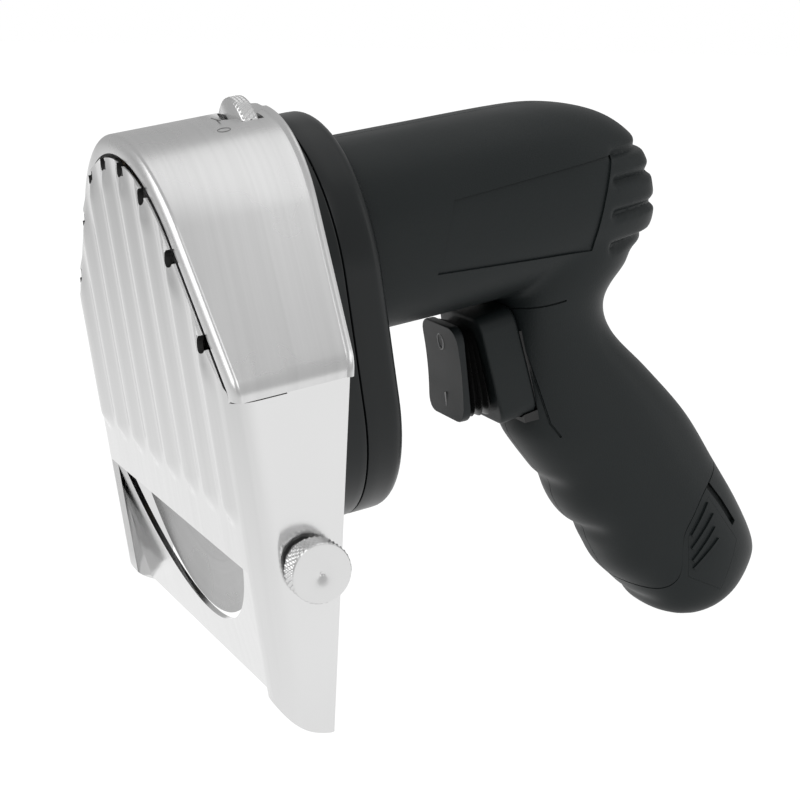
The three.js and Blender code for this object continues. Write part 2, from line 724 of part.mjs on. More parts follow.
function cupBody() {
  const segments = 8;
  const outer = alongX(gearboxOutline(0), cupFront, GEARBOX_REAR_X, segments);
  const floorX = GEARBOX_REAR_X - GEARBOX_WALL;
  const hollow = alongX(gearboxOutline(GEARBOX_WALL), 0, floorX, segments);
  const posts = headScrews.map(([y, z]) => rodX(SCREW_BOSS_RADIUS, cupFront, floorX + BITE, y, z, 8));
  const bearingBoss = rodX(
    REAR_BEARING_RADIUS + GEARBOX_WALL, REAR_BEARING_X, floorX + BITE, 0, BLADE_AXIS_Z,
  );
  const spigot = ringX(spigotInner, spigotOuter, GEARBOX_REAR_X - BITE, spigotEnd, MOTOR_AXIS_Z);
  const key = ringX(spigotInner, keyOuter, spigotEnd - SPIGOT_KEY_WIDTH, spigotEnd, MOTOR_AXIS_Z);
  const holes = headScrews.map(([y, z]) =>
    rodX(HEAD_SCREW_RADIUS + THREAD_GAP, 0, HEAD_SCREW_END_X + GAP, y, z, 8),
  );
  const motorHoles = [-1, 1].map((side) =>
    rodX(MOTOR_SCREW_RADIUS + THREAD_GAP, 0, motorFront, side * MOTOR_SCREW_Y, MOTOR_AXIS_Z, 8),
  );
  return cut(
    join(cut(outer, hollow), ...posts, bearingBoss, spigot, key),
    ...holes,
    ...motorHoles,
    rodX(
      REAR_BEARING_RADIUS + RUNNING_GAP, 0, REAR_BEARING_X + REAR_BEARING_WIDTH + GAP, 0, BLADE_AXIS_Z,
    ),
    rodX(pinionRoom, 0, motorFront, 0, MOTOR_AXIS_Z),
  );
}

function gearboxGroup() {
  add("gearbox_cover", coverBody(), glossBlack);
  add("gearbox_cup", cupBody(), glossBlack);
  headScrews.forEach(([y, z], i) => {
    const wallFront = headRear(z - HEAD_SCREW_HEAD_RADIUS) - REAR_WALL_THICKNESS;
    const seat = wallFront - RUNNING_GAP;
    const length = HEAD_SCREW_END_X - seat;
    const screw = screwX(
      HEAD_SCREW_RADIUS, length, HEAD_SCREW_HEAD_RADIUS, HEAD_SCREW_HEAD_HEIGHT, seat, y, z,
    );
    add(`head_screw_${i + 1}`, screw, zincSteel);
  });
}

// Fixed band: a bent section with a rounded shoulder and a rear bead, swept along the outline
function bandSection() {
  const steps = 3;
  const section = [];
  const centreX = BAND_FRONT_X + SHOULDER_DEPTH;
  const arc = (wall, from, to) => {
    for (let i = 0; i <= steps; i++) {
      const angle = THREE.MathUtils.lerp(from, to, i / steps);
      section.push({
        x: centreX - (SHOULDER_DEPTH - wall) * Math.cos(angle),
        inset: SHOULDER_INSET - (SHOULDER_INSET - wall) * Math.sin(angle),
      });
    }
  };
  arc(0, 0, Math.PI / 2);
  section.push({ rear: BEAD_WIDTH, inset: 0 });
  section.push({ rear: BEAD_WIDTH / 2, inset: -BEAD_HEIGHT });
  section.push({ rear: 0, inset: -BEAD_HEIGHT });
  section.push({ rear: 0, inset: BAND_WALL });
  arc(BAND_WALL, Math.PI / 2, 0);
  return section;
}

function bandBody() {
  const section = bandSection();
  const rings = path.map((p) =>
    section.map((corner) => {
      const z = p.z + p.nz * corner.inset;
      const x = corner.x ?? headRear(z) - corner.rear;
      return new THREE.Vector3(x, p.y + p.ny * corner.inset, z);
    }),
  );
  const flat = rings[0].map((point) => new THREE.Vector2(point.x, point.y));
  return loft(rings, flat);
}

const bracketOuter = cheekOuter - SHEET - BRACKET_GAP;

function rearWallBody() {
  const half = bracketOuter;
  const step = cheekTop + PAST;
  const upper = insetPath(BAND_WALL / 2).filter(([, z]) => z > step);
  const right = [[half, step], [half, REAR_WALL_LOWER_Z]];
  const left = [[-half, REAR_WALL_LOWER_Z], [-half, step]];
  const outline = [...upper, ...right, ...left];
  return leanBack(alongX(polygon(outline), HEAD_REAR_X - REAR_WALL_THICKNESS, HEAD_REAR_X));
}

function housingBody() {
  const wall = rearWallBody();
  const brackets = [-1, 1].map((side) => {
    const outline = polygon([
      [BRACKET_FRONT_X, BRACKET_LOWER_Z],
      [headRear(BRACKET_LOWER_Z), BRACKET_LOWER_Z],
      [headRear(bracketUpper), bracketUpper],
      [headRear(bracketUpper) - BRACKET_UPPER_DEPTH, bracketUpper],
      [BRACKET_FRONT_X, KNOB_Z + 3 * LOCK_SCREW_RADIUS],
    ]);
    const from = side > 0 ? bracketOuter - BRACKET_THICKNESS : -bracketOuter;
    return alongY(outline, from, from + BRACKET_THICKNESS);
  });
  const filled = alongX(polygon(insetPath(0).reverse()), BAND_FRONT_X, headRear(wheelZ));
  const scoopZ = bandTop - SCOOP_DEPTH + SCOOP_RADIUS;
  const ball = (radius) =>
    solid(new THREE.SphereGeometry(radius, 16, 12).rotateX(Math.PI / 2).translate(WHEEL_X, 0, scoopZ));
  const dish = ball(SCOOP_RADIUS + BAND_WALL).intersect(filled);
  const wheelSlot = rodX(
    WHEEL_RADIUS + WHEEL_GAP, WHEEL_X - WHEEL_GAP, WHEEL_X + WHEEL_WIDTH + WHEEL_GAP, 0, wheelZ, 28,
  );
  const screwHoles = headScrews.map(([y, z]) =>
    rodX(HEAD_SCREW_RADIUS + THREAD_GAP, 0, GEARBOX_SEAM_X, y, z, 8),
  );
  const lockHole = rodY(LOCK_SCREW_RADIUS + THREAD_GAP, -FAR, FAR, KNOB_X, KNOB_Z, 10);
  return cut(
    join(bandBody(), wall, ...brackets, dish),
    ball(SCOOP_RADIUS),
    wheelSlot,
    rodX(SPINDLE_COLLAR_RADIUS + WHEEL_GAP, SPINDLE_FRONT_X, GEARBOX_SEAM_X, 0, wheelZ, 16),
    rodX(NOSE_RADIUS + GAP, 0, GEARBOX_SEAM_X, 0, BLADE_AXIS_Z),
    ...screwHoles,
    lockHole,
  );
}

// Thickness guide: plate, cheeks and lip from one sheet
const ribPlaces = Array.from(
  { length: RIB_COUNT },
  (_, i) => THREE.MathUtils.mapLinear(i, 0, RIB_COUNT - 1, -outerRib, outerRib),
);
const plateBack = PLATE_FRONT_X + SHEET;
const tipFrontX = headRear(TIP_Z) - TIP_WIDTH;

function channelSection() {
  const x = PLATE_FRONT_X + CHEEK_CORNER_RADIUS;
  const y = cheekOuter - CHEEK_CORNER_RADIUS;
  const inner = CHEEK_CORNER_RADIUS - SHEET;
  const shape = new THREE.Shape();
  shape.moveTo(FAR, cheekOuter);
  shape.absarc(x, y, CHEEK_CORNER_RADIUS, Math.PI / 2, Math.PI);
  shape.absarc(x, -y, CHEEK_CORNER_RADIUS, Math.PI, Math.PI * 1.5);
  shape.lineTo(FAR, -cheekOuter);
  shape.lineTo(FAR, SHEET - cheekOuter);
  shape.absarc(x, -y, inner, Math.PI * 1.5, Math.PI, true);
  shape.absarc(x, y, inner, Math.PI, Math.PI / 2, true);
  shape.lineTo(FAR, cheekOuter - SHEET);
  shape.closePath();
  return shape;
}

// The space inside the folded sheet, out to the middle of its thickness.
function insideSheet() {
  const x = PLATE_FRONT_X + CHEEK_CORNER_RADIUS;
  const y = cheekOuter - CHEEK_CORNER_RADIUS;
  const radius = CHEEK_CORNER_RADIUS - SHEET / 2;
  const shape = new THREE.Shape();
  shape.moveTo(FAR, y + radius);
  shape.absarc(x, y, radius, Math.PI / 2, Math.PI);
  shape.absarc(x, -y, radius, Math.PI, Math.PI * 1.5);
  shape.lineTo(FAR, -y - radius);
  shape.closePath();
  return shape;
}

// Side view of the cheeks: swept lower edge, raked rear edge, tab that runs up inside the band.
function cheekProfile() {
  const shape = new THREE.Shape();
  const [near, end] = CHEEK_SWEEP;
  shape.moveTo(PLATE_FRONT_X - PAST, cheekStep);
  shape.lineTo(PLATE_FRONT_X - PAST, CHEEK_SWEEP_Z);
  shape.bezierCurveTo(near[0], near[1], end[0], end[1], tipFrontX, TIP_Z);
  shape.lineTo(headRear(TIP_Z), TIP_Z);
  shape.lineTo(headRear(cheekTop), cheekTop);
  shape.lineTo(CHEEK_TAB_X, cheekTop);
  shape.lineTo(CHEEK_TAB_X, cheekStep);
  shape.closePath();
  return shape;
}

function guideBody() {
  const height = cheekTop - TIP_Z + 2 * PAST;
  const channel = solid(extrude(channelSection(), height, 2).translate(0, 0, TIP_Z - PAST));
  const cheeks = channel.intersect(alongY(cheekProfile(), -FAR, FAR, 8));
  const outline = insetPath(SHOULDER_INSET + PLATE_BAND_GAP).filter(([, z]) => z > cheekStep);
  const fold = cheekOuter - CHEEK_CORNER_RADIUS;
  const lower = [[fold, cheekStep], [fold, CHORD_Z], [-fold, CHORD_Z], [-fold, cheekStep]];
  const plateOutline = polygon([...outline, ...lower].reverse());
  const plate = alongX(plateOutline, PLATE_FRONT_X, plateBack);
  const ribFront = PLATE_FRONT_X - RIB_HEIGHT;
  const allowed = alongX(plateOutline, ribFront - PAST, plateBack - BITE);
  const ribs = ribPlaces.map((y) => {
    const length = bandTop - RIB_END_Z - RIB_HALF_WIDTH;
    const bar = new THREE.CapsuleGeometry(RIB_HALF_WIDTH, length, 2, 10);
    bar.rotateX(Math.PI / 2);
    bar.scale(RIB_HEIGHT / RIB_HALF_WIDTH, 1, 1);
    bar.translate(PLATE_FRONT_X, y, RIB_END_Z + RIB_HALF_WIDTH + length / 2);
    return solid(bar).intersect(allowed);
  });
  const window = box(PLATE_FRONT_X - PAST, plateBack + PAST, -fold, fold, TIP_Z - PAST, CHORD_Z);
  const inside = solid(extrude(insideSheet(), height, 2).translate(0, 0, TIP_Z - PAST));
  const lipSection = polygon([
    [LIP_TOP_X, CHORD_Z + PAST],
    [LIP_TOP_X + LIP_SETBACK, LIP_BOTTOM_Z],
    [LIP_TOP_X + LIP_SETBACK + SHEET, LIP_BOTTOM_Z],
    [LIP_TOP_X + SHEET, CHORD_Z + PAST],
  ]);
  const opening = rodX(OPENING_RADIUS, -PAST, FAR, 0, BLADE_AXIS_Z, 72);
  const lip = cut(alongY(lipSection, -cheekOuter, cheekOuter).intersect(inside), opening);
  const notches = ribPlaces.map((y) => {
    const edge = outlineHeight(outline, y);
    return rodX(NOTCH_RADIUS, ribFront - PAST, plateBack + PAST, y, edge - NOTCH_RADIUS / 2, 8);
  });
  const slot = new THREE.Shape();
  const slotRadius = LOCK_SCREW_RADIUS + GAP;
  slot.absarc(KNOB_X, KNOB_Z, slotRadius, Math.PI / 2, Math.PI * 1.5);
  slot.absarc(KNOB_X + GUIDE_TRAVEL, KNOB_Z, slotRadius, -Math.PI / 2, Math.PI / 2);
  slot.closePath();
  return cut(
    join(cut(cheeks, window), plate, ...ribs, lip),
    ...notches,
    alongY(slot, -FAR, FAR, 3),
  );
}

// Height of the plate's upper edge at y.
function outlineHeight(outline, y) {
  const i = outline.findIndex((point) => point[0] >= y);
  const [[y0, z0], [y1, z1]] = [outline[i - 1], outline[i]];
  return THREE.MathUtils.mapLinear(y, y0, y1, z0, z1);
}

// A knurled disc outline: shallow teeth on a circle.
function knurlShape(radius, teeth, u = 0, v = 0) {
  const points = [];
  for (let i = 0; i < teeth * 2; i++) {
    const reach = radius - (i % 2) * KNURL_DEPTH;
    const angle = (i / teeth) * Math.PI;
    points.push([u + reach * Math.cos(angle), v + reach * Math.sin(angle)]);
  }
  return polygon(points);
}

function adjusterGroup() {
  const wheelEnd = WHEEL_X + WHEEL_WIDTH;
  const wheel = cut(
    alongX(knurlShape(WHEEL_RADIUS, WHEEL_TEETH, 0, wheelZ), WHEEL_X, wheelEnd),
    rodX(SPINDLE_RADIUS + RUNNING_GAP, 0, FAR, 0, wheelZ, 12),
  );
  add("thickness_wheel", wheel, polishedSteel);
  const collarEnd = WHEEL_X - RUNNING_GAP;
  const spindle = join(
    rodX(SPINDLE_RADIUS, SPINDLE_FRONT_X, spindleEnd, 0, wheelZ, 12),
    rodX(SPINDLE_COLLAR_RADIUS, collarEnd - SPINDLE_COLLAR_WIDTH, collarEnd, 0, wheelZ, 12),
  );
  add("adjuster_spindle", spindle, zincSteel);
  const nutBottom = wheelZ - NUT_HALF_HEIGHT;
  const block = box(
    NUT_X, NUT_X + NUT_LENGTH, -NUT_HALF_WIDTH, NUT_HALF_WIDTH, nutBottom, wheelZ + NUT_HALF_HEIGHT,
  );
  const foot = box(
    plateBack + GAP, NUT_X + BITE, -NUT_HALF_WIDTH, NUT_HALF_WIDTH, nutBottom, wheelZ + NUT_FOOT_RISE,
  );
  const thread = rodX(SPINDLE_RADIUS + THREAD_GAP, NUT_X, FAR, 0, wheelZ, 12);
  const nut = cut(join(block, foot), thread);
  add("adjuster_nut", nut, brass);
}

function lockGroup() {
  const washerInner = cheekOuter + RUNNING_GAP;
  const washerOuter = washerInner + LOCK_WASHER_THICKNESS;
  const neckInner = washerOuter + RUNNING_GAP;
  const headInner = neckInner + KNOB_NECK_LENGTH;
  const headOuter = headInner + KNOB_LENGTH;
  const screwEnd = bracketOuter - BRACKET_THICKNESS;
  for (const [side, word] of [[-1, "right"], [1, "left"]]) {
    const span = (build, near, far) => (side > 0 ? build(near, far) : build(-far, -near));
    const rod = (radius, near, far) =>
      span((a, b) => rodY(radius, a, b, KNOB_X, KNOB_Z, 12), near, far);
    const knurl = knurlShape(KNOB_RADIUS, KNOB_TEETH, KNOB_X, KNOB_Z);
    const head = span((a, b) => alongY(knurl, a, b), headInner, headOuter);
    const neck = rod(KNOB_NECK_RADIUS, neckInner, headInner + BITE);
    const shank = rod(LOCK_SCREW_RADIUS, screwEnd, neckInner + BITE);
    add(`lock_knob_${word}`, join(head, neck, shank), polishedSteel);
    const disc = rod(LOCK_WASHER_RADIUS, washerInner, washerOuter);
    const bore = rodY(LOCK_SCREW_RADIUS + RUNNING_GAP, -FAR, FAR, KNOB_X, KNOB_Z, 12);
    add(`lock_washer_${word}`, cut(disc, bore), zincSteel);
  }
}

// Motor
const motorEnd = motorFront + MOTOR_LENGTH;
const canInner = MOTOR_RADIUS - MOTOR_WALL;
const armatureFrom = motorFront + ARMATURE_START;
const armatureTo = armatureFrom + ARMATURE_LENGTH;
const commutatorFrom = armatureTo + COMMUTATOR_GAP;

function motorGroup() {
  const z = MOTOR_AXIS_Z;
  const wallBack = motorFront + MOTOR_WALL;
  const screwHoles = [-1, 1].map((side) =>
    rodX(MOTOR_SCREW_RADIUS + THREAD_GAP, 0, wallBack + PAST, side * MOTOR_SCREW_Y, z, 8),
  );
  const can = turnX(
    [
      [motorFront, MOTOR_SHAFT_RADIUS + RUNNING_GAP],
      [motorFront, MOTOR_RADIUS],
      [motorEnd, MOTOR_RADIUS],
      [motorEnd, canInner],
      [wallBack, canInner],
      [wallBack, MOTOR_BUSH_RADIUS],
      [wallBack + MOTOR_BUSH_LENGTH, MOTOR_BUSH_RADIUS],
      [wallBack + MOTOR_BUSH_LENGTH, MOTOR_SHAFT_RADIUS + RUNNING_GAP],
      [motorFront, MOTOR_SHAFT_RADIUS + RUNNING_GAP],
    ],
    z,
  );
  add("motor_can", cut(can, ...screwHoles), zincSteel);
  const capFrom = motorEnd + GAP;
  const capTo = capFrom + END_CAP_THICKNESS;
  const brushFrom = commutatorFrom + (COMMUTATOR_LENGTH - BRUSH_SIZE) / 2;
  const brushTo = brushFrom + BRUSH_SIZE;
  const brushInner = COMMUTATOR_RADIUS + RUNNING_GAP;
  const half = BRUSH_SIZE / 2;
  const rotorEnd = capTo - END_CAP_SKIN;
  const rotor = turnX(
    [
      [GEAR_X, 0],
      [GEAR_X, MOTOR_SHAFT_RADIUS],
      [armatureFrom, MOTOR_SHAFT_RADIUS],
      [armatureFrom, ARMATURE_RADIUS],
      [armatureTo, ARMATURE_RADIUS],
      [armatureTo, COMMUTATOR_NECK_RADIUS],
      [commutatorFrom, COMMUTATOR_NECK_RADIUS],
      [commutatorFrom, COMMUTATOR_RADIUS],
      [commutatorFrom + COMMUTATOR_LENGTH, COMMUTATOR_RADIUS],
      [commutatorFrom + COMMUTATOR_LENGTH, MOTOR_SHAFT_RADIUS],
      [rotorEnd, MOTOR_SHAFT_RADIUS],
      [rotorEnd, 0],
    ],
    z,
  );
  add("motor_rotor", rotor, copper);
  const pinionTurn = Math.PI / PINION_TEETH - Math.PI / 2;
  const pinionShape = gearShape(PINION_TEETH, pinionTurn, z);
  const pinionBlank = alongX(pinionShape, GEAR_X - GAP, GEAR_X - GAP + PINION_WIDTH);
  const pinionBore = rodX(MOTOR_SHAFT_RADIUS + RUNNING_GAP, 0, FAR, 0, z, 12);
  add("motor_pinion", cut(pinionBlank, pinionBore), zincSteel);
  const brushEnd = brushInner + BRUSH_LENGTH;
  const across = (side, near, far) => [side * near, side * far].sort((a, b) => a - b);
  const arms = [-1, 1].map((side) => {
    const [y0, y1] = across(side, brushInner + HOLDER_SETBACK, brushEnd + HOLDER_SETBACK);
    const wall = half + HOLDER_WALL;
    const arm = box(brushFrom - HOLDER_WALL, capFrom + BITE, y0, y1, z - wall, z + wall);
    const [room0, room1] = across(side, 0, FAR);
    const open = half + RUNNING_GAP;
    const room = box(brushFrom - RUNNING_GAP, brushTo + RUNNING_GAP, room0, room1, z - open, z + open);
    return cut(arm, room);
  });
  const cap = join(rodX(MOTOR_RADIUS, capFrom, capTo, 0, z), ...arms);
  const capBore = rodX(MOTOR_SHAFT_RADIUS + RUNNING_GAP, 0, rotorEnd + GAP, 0, z, 12);
  add("motor_end_cap", cut(cap, capBore), innerBlack);
  for (const [side, word] of [[-1, "right"], [1, "left"]]) {
    const arc = new THREE.Shape();
    const middle = side > 0 ? 0 : Math.PI;
    const outer = canInner - MAGNET_GAP;
    arc.absarc(0, z, outer, middle - MAGNET_HALF_ANGLE, middle + MAGNET_HALF_ANGLE);
    arc.absarc(0, z, outer - MAGNET_THICKNESS, middle + MAGNET_HALF_ANGLE, middle - MAGNET_HALF_ANGLE, true);
    arc.closePath();
    add(`motor_magnet_${word}`, alongX(arc, armatureFrom, armatureTo, 4), magnetGrey);
    const [y0, y1] = across(side, brushInner, brushEnd);
    const brush = box(brushFrom, brushTo, y0, y1, z - half, z + half);
    add(`motor_brush_${word}`, brush, innerBlack);
    const seat = GEARBOX_REAR_X - GEARBOX_WALL - RUNNING_GAP;
    const screw = screwX(
      MOTOR_SCREW_RADIUS, MOTOR_SCREW_LENGTH, MOTOR_SCREW_HEAD_RADIUS, MOTOR_SCREW_HEAD_HEIGHT,
      seat, side * MOTOR_SCREW_Y, z, 8,
    );
    add(`motor_screw_${word}`, screw, zincSteel);
  }
}

// Frames of the stance and of the raked handle
const sinTilt = Math.sin(STAND_TILT);
const cosTilt = Math.cos(STAND_TILT);
const floorHeight = tipFrontX * sinTilt + TIP_Z * cosTilt;

// A point given along the floor, across and above the floor, in the tool's axes.
function standing(along, across, height) {
  const up = height + floorHeight;
  return new THREE.Vector3(along * cosTilt + up * sinTilt, across, up * cosTilt - along * sinTilt);
}

// A solid drawn with X across the handle, Y to the left and Z up the handle, in the tool's axes.
function raked(body) {
  const [c, s] = [Math.cos(HANDLE_RAKE), Math.sin(HANDLE_RAKE)];
  const turn = new THREE.Matrix4().set(c, 0, -s, 0, 0, 1, 0, 0, s, 0, c, 0, 0, 0, 0, 1);
  return solid(geometryOf(body).applyMatrix4(turn));
}

// Barrel and handle outlines, each through a few points
const barrelTop = through([
  [49, 51.5], [75, 51.2], [104, 50.6], [114, 49], [122, 46], [127, 42], [130, 37.5],
]);
const barrelBottom = through([
  [49, 4.6], [75, 4.8], [104, 5.6], [114, 7], [122, 9], [127, 11.5], [130, 14],
]);
const barrelWidth = through([[49, 1], [104, 1], [114, 0.97], [122, 0.91], [127, 0.82], [130, 0.68]]);
const barrelStations = [49.2, 104, 114, 120, 126, 130];
const handleBack = through([
  [0, 152], [2, 157.5], [6, 163], [12, 167], [17, 168], [28, 162.5], [41, 153.5], [54, 144],
  [67, 130.5], [76, 120], [82, 115.8], [87, 115], [91, 117], [96, 121], [104, 122],
]);
const handleFront = through([
  [0, 137.5], [2, 134.5], [6, 131], [12, 125.5], [26, 113.8], [38, 104], [50, 94], [54, 92.6], [85, 87],
  [104, 83.5],
]);
const handleWidth = through([
  [0, 12.5], [2, 15], [6, 16.8], [17, 17.6], [41, 17], [67, 17], [80, 18], [91, 20.5], [104, 22],
]);
const handleStations = [0, 1, 5, 11, 18, 28, 39, 50, 55, 67, 76, 84, 91, 104];

function barrelBody(inset) {
  const count = 20;
  const squared = squaredEllipse(1, 1, BARREL_SQUARENESS, count);
  const rings = barrelStations.map((x, i) => {
    const last = i === barrelStations.length - 1;
    const top = barrelTop(x) - inset;
    const bottom = barrelBottom(x) + inset;
    const half = BARREL_HALF_WIDTH * barrelWidth(x) - inset;
    return squared.map(
      ([u, v]) =>
        new THREE.Vector3(last ? x - inset : x, half * u, (top + bottom) / 2 + ((top - bottom) / 2) * v),
    );
  });
  return loft(rings, squared.map(([u, v]) => new THREE.Vector2(u, v)));
}

function handleBody(inset) {
  const count = 20;
  const squared = squaredEllipse(1, 1, HANDLE_SQUARENESS, count);
  const rings = handleStations.map((height, i) => {
    const front = handleFront(height) + inset * INSET_STRETCH;
    const back = handleBack(height) - inset * INSET_STRETCH;
    const half = handleWidth(height) - inset;
    const lifted = i === 0 ? height + inset : height;
    return squared.map(([u, v]) =>
      standing((front + back) / 2 + ((back - front) / 2) * u, half * v, lifted),
    );
  });
  return loft(rings, squared.map(([u, v]) => new THREE.Vector2(u, v)));
}

const bodyOuter = join(barrelBody(0), handleBody(0));
const bodyInner = join(barrelBody(SHELL_WALL), handleBody(SHELL_WALL));
const bodyMiddle = join(barrelBody(SHELL_WALL / 2), handleBody(SHELL_WALL / 2));
const bodySkin = join(barrelBody(SURFACE_CUT), handleBody(SURFACE_CUT));

// Region of the battery cap in side view, below the stepped joint line.
function capRegion(grow) {
  const line = CAP_LINE.map(([x, z]) => [x, z + grow]);
  const [start, end] = [line[0], line[line.length - 1]];
  const below = [[FAR, end[1]], [FAR, -FAR], [start[0], -FAR]];
  return alongY(polygon([...line, ...below]), -FAR, FAR);
}

// Latch tongue in side view, between the joint line and the slot behind it.
function latchRegion(grow, inner, outer) {
  const count = LATCH_OUTLINE.length;
  const middle = LATCH_OUTLINE.reduce(([u, v], [x, z]) => [u + x / count, v + z / count], [0, 0]);
  const points = LATCH_OUTLINE.map(([x, z]) => {
    const reach = Math.hypot(x - middle[0], z - middle[1]);
    const scale = (reach + grow) / reach;
    return [middle[0] + (x - middle[0]) * scale, middle[1] + (z - middle[1]) * scale];
  });
  return alongY(polygon(points), inner, outer);
}

const trayHalfP = CELL_RADIUS + TRAY_MARGIN;
const trayHalfY = CELL_RADIUS + GAP + TRAY_WALL;
const trayBottomS = CELL_TOP_S + CELL_LENGTH + CONTACT_THICKNESS + 2 * GAP + TRAY_BASE;

// Room for the two cells side by side and the tray between their flanks.
function batteryWell(grow) {
  const [low, high] = [-trayBottomS - grow, WELL_HEADROOM - CELL_TOP_S];
  const across = trayHalfP + grow;
  const room = box(BATTERY_P - across, BATTERY_P + across, -trayHalfY - grow, trayHalfY + grow, low, high);
  const bores = [-1, 1].map((side) => {
    const bore = new THREE.CylinderGeometry(CELL_RADIUS + grow, CELL_RADIUS + grow, high - low, 16);
    return solid(bore.rotateX(Math.PI / 2).translate(BATTERY_P + side * CELL_RADIUS, 0, (low + high) / 2));
  });
  return raked(join(room, ...bores));
}

function shellBodies() {
  const screws = SHELL_SCREW_PLACES;
  const bosses = screws.map(([x, z]) => rodY(SHELL_BOSS_RADIUS, -FAR, FAR, x, z, 8).intersect(bodyMiddle));
  const barrelMiddle = barrelBody(SHELL_WALL / 2);
  const cradles = CRADLE_X.map((x) =>
    ringX(MOTOR_RADIUS + GAP, FAR, x, x + CRADLE_WIDTH, MOTOR_AXIS_Z).intersect(barrelMiddle),
  );
  const grooves = REAR_GROOVE_Z.map((z) =>
    cut(
      box(REAR_GROOVE_X, FAR, -FAR, FAR, z - REAR_GROOVE_HALF_HEIGHT, z + REAR_GROOVE_HALF_HEIGHT),
      bodySkin,
    ),
  );
  const panel = cut(alongY(polygon(PANEL_OUTLINE), -FAR, FAR), bodySkin);
  const notches = FINGER_NOTCH_HEIGHTS.map((height) => {
    const skin = standing(handleFront(height), 0, height);
    const out = FINGER_NOTCH_RADIUS - FINGER_NOTCH_DEPTH;
    const x = skin.x - out * Math.cos(HANDLE_RAKE);
    const z = skin.z - out * Math.sin(HANDLE_RAKE);
    return rodY(FINGER_NOTCH_RADIUS, -FAR, FAR, x, z, 12);
  });
  const spigotRoom = join(
    rodX(spigotOuter + GAP, 0, spigotEnd + GAP, 0, MOTOR_AXIS_Z),
    rodX(keyOuter + GAP, spigotEnd - SPIGOT_KEY_WIDTH - GAP, spigotEnd + GAP, 0, MOTOR_AXIS_Z),
  );
  const switchDoor = box(
    GEARBOX_REAR_X, SWITCH_FRONT_X + SWITCH_LENGTH + GAP, -SWITCH_HALF_WIDTH - GAP, SWITCH_HALF_WIDTH + GAP,
    SWITCH_BOTTOM_Z - GAP, SWITCH_TOP_Z + GAP,
  );
  const walls = join(cut(bodyOuter, bodyInner), ...bosses, ...cradles);
  const shellEnd = box(0, GEARBOX_REAR_X + GAP, -FAR, FAR, -FAR, FAR);
  const hole = SHELL_SCREW_RADIUS + THREAD_GAP;
  const holeEnd = SHELL_SCREW_SEAT_Y - SHELL_SCREW_LENGTH - GAP;
  const headHole = SHELL_SCREW_HEAD_RADIUS + GAP;
  const whole = cut(
    walls,
    ...grooves,
    ...notches,
    panel,
    spigotRoom,
    switchDoor,
    capRegion(GAP),
    batteryWell(GAP),
    shellEnd,
    bezelRoom(),
    ...screws.map(([x, z]) => rodY(hole, holeEnd, FAR, x, z, 8)),
    ...screws.map(([x, z]) => rodY(headHole, SHELL_SCREW_SEAT_Y, FAR, x, z, 8)),
  );
  const halfGap = SPLIT_GAP / 2;
  return {
    right: cut(whole, box(0, FAR, -halfGap, FAR, -FAR, FAR)),
    left: cut(whole, box(0, FAR, -FAR, halfGap, -FAR, FAR)),
  };
}

function shellGroup() {
  const shells = shellBodies();
  add("right_shell", shells.right, shellBlack);
  add("left_shell", shells.left, shellBlack);
  SHELL_SCREW_PLACES.forEach(([x, z], i) => {
    const seat = SHELL_SCREW_SEAT_Y + RUNNING_GAP;
    const head = rodY(SHELL_SCREW_HEAD_RADIUS, seat, seat + SHELL_SCREW_HEAD_HEIGHT, x, z, 8);
    const shank = rodY(SHELL_SCREW_RADIUS, SHELL_SCREW_SEAT_Y - SHELL_SCREW_LENGTH, seat + BITE, x, z, 8);
    add(`shell_screw_${i + 1}`, join(head, shank), zincSteel);
  });
}

// Rocker switch: a leaning frame in (Y, up) with X forward offsets
function leaning(body, lean, x, z) {
  const turn = new THREE.Matrix4().makeRotationY(lean).setPosition(x, 0, z);
  return solid(geometryOf(body).applyMatrix4(turn));
}

function bezelRoom() {
  const halfY = BEZEL_WIDTH / 2 + GAP;
  const halfZ = BEZEL_HEIGHT / 2 + GAP;
  const outline = roundedRectangle(halfY, halfZ, BEZEL_CORNER);
  const room = alongX(outline, -BEZEL_ROOM, BEZEL_THICKNESS + GAP, 2);
  return leaning(room, BEZEL_LEAN, BEZEL_X, BEZEL_CENTRE_Z);
}

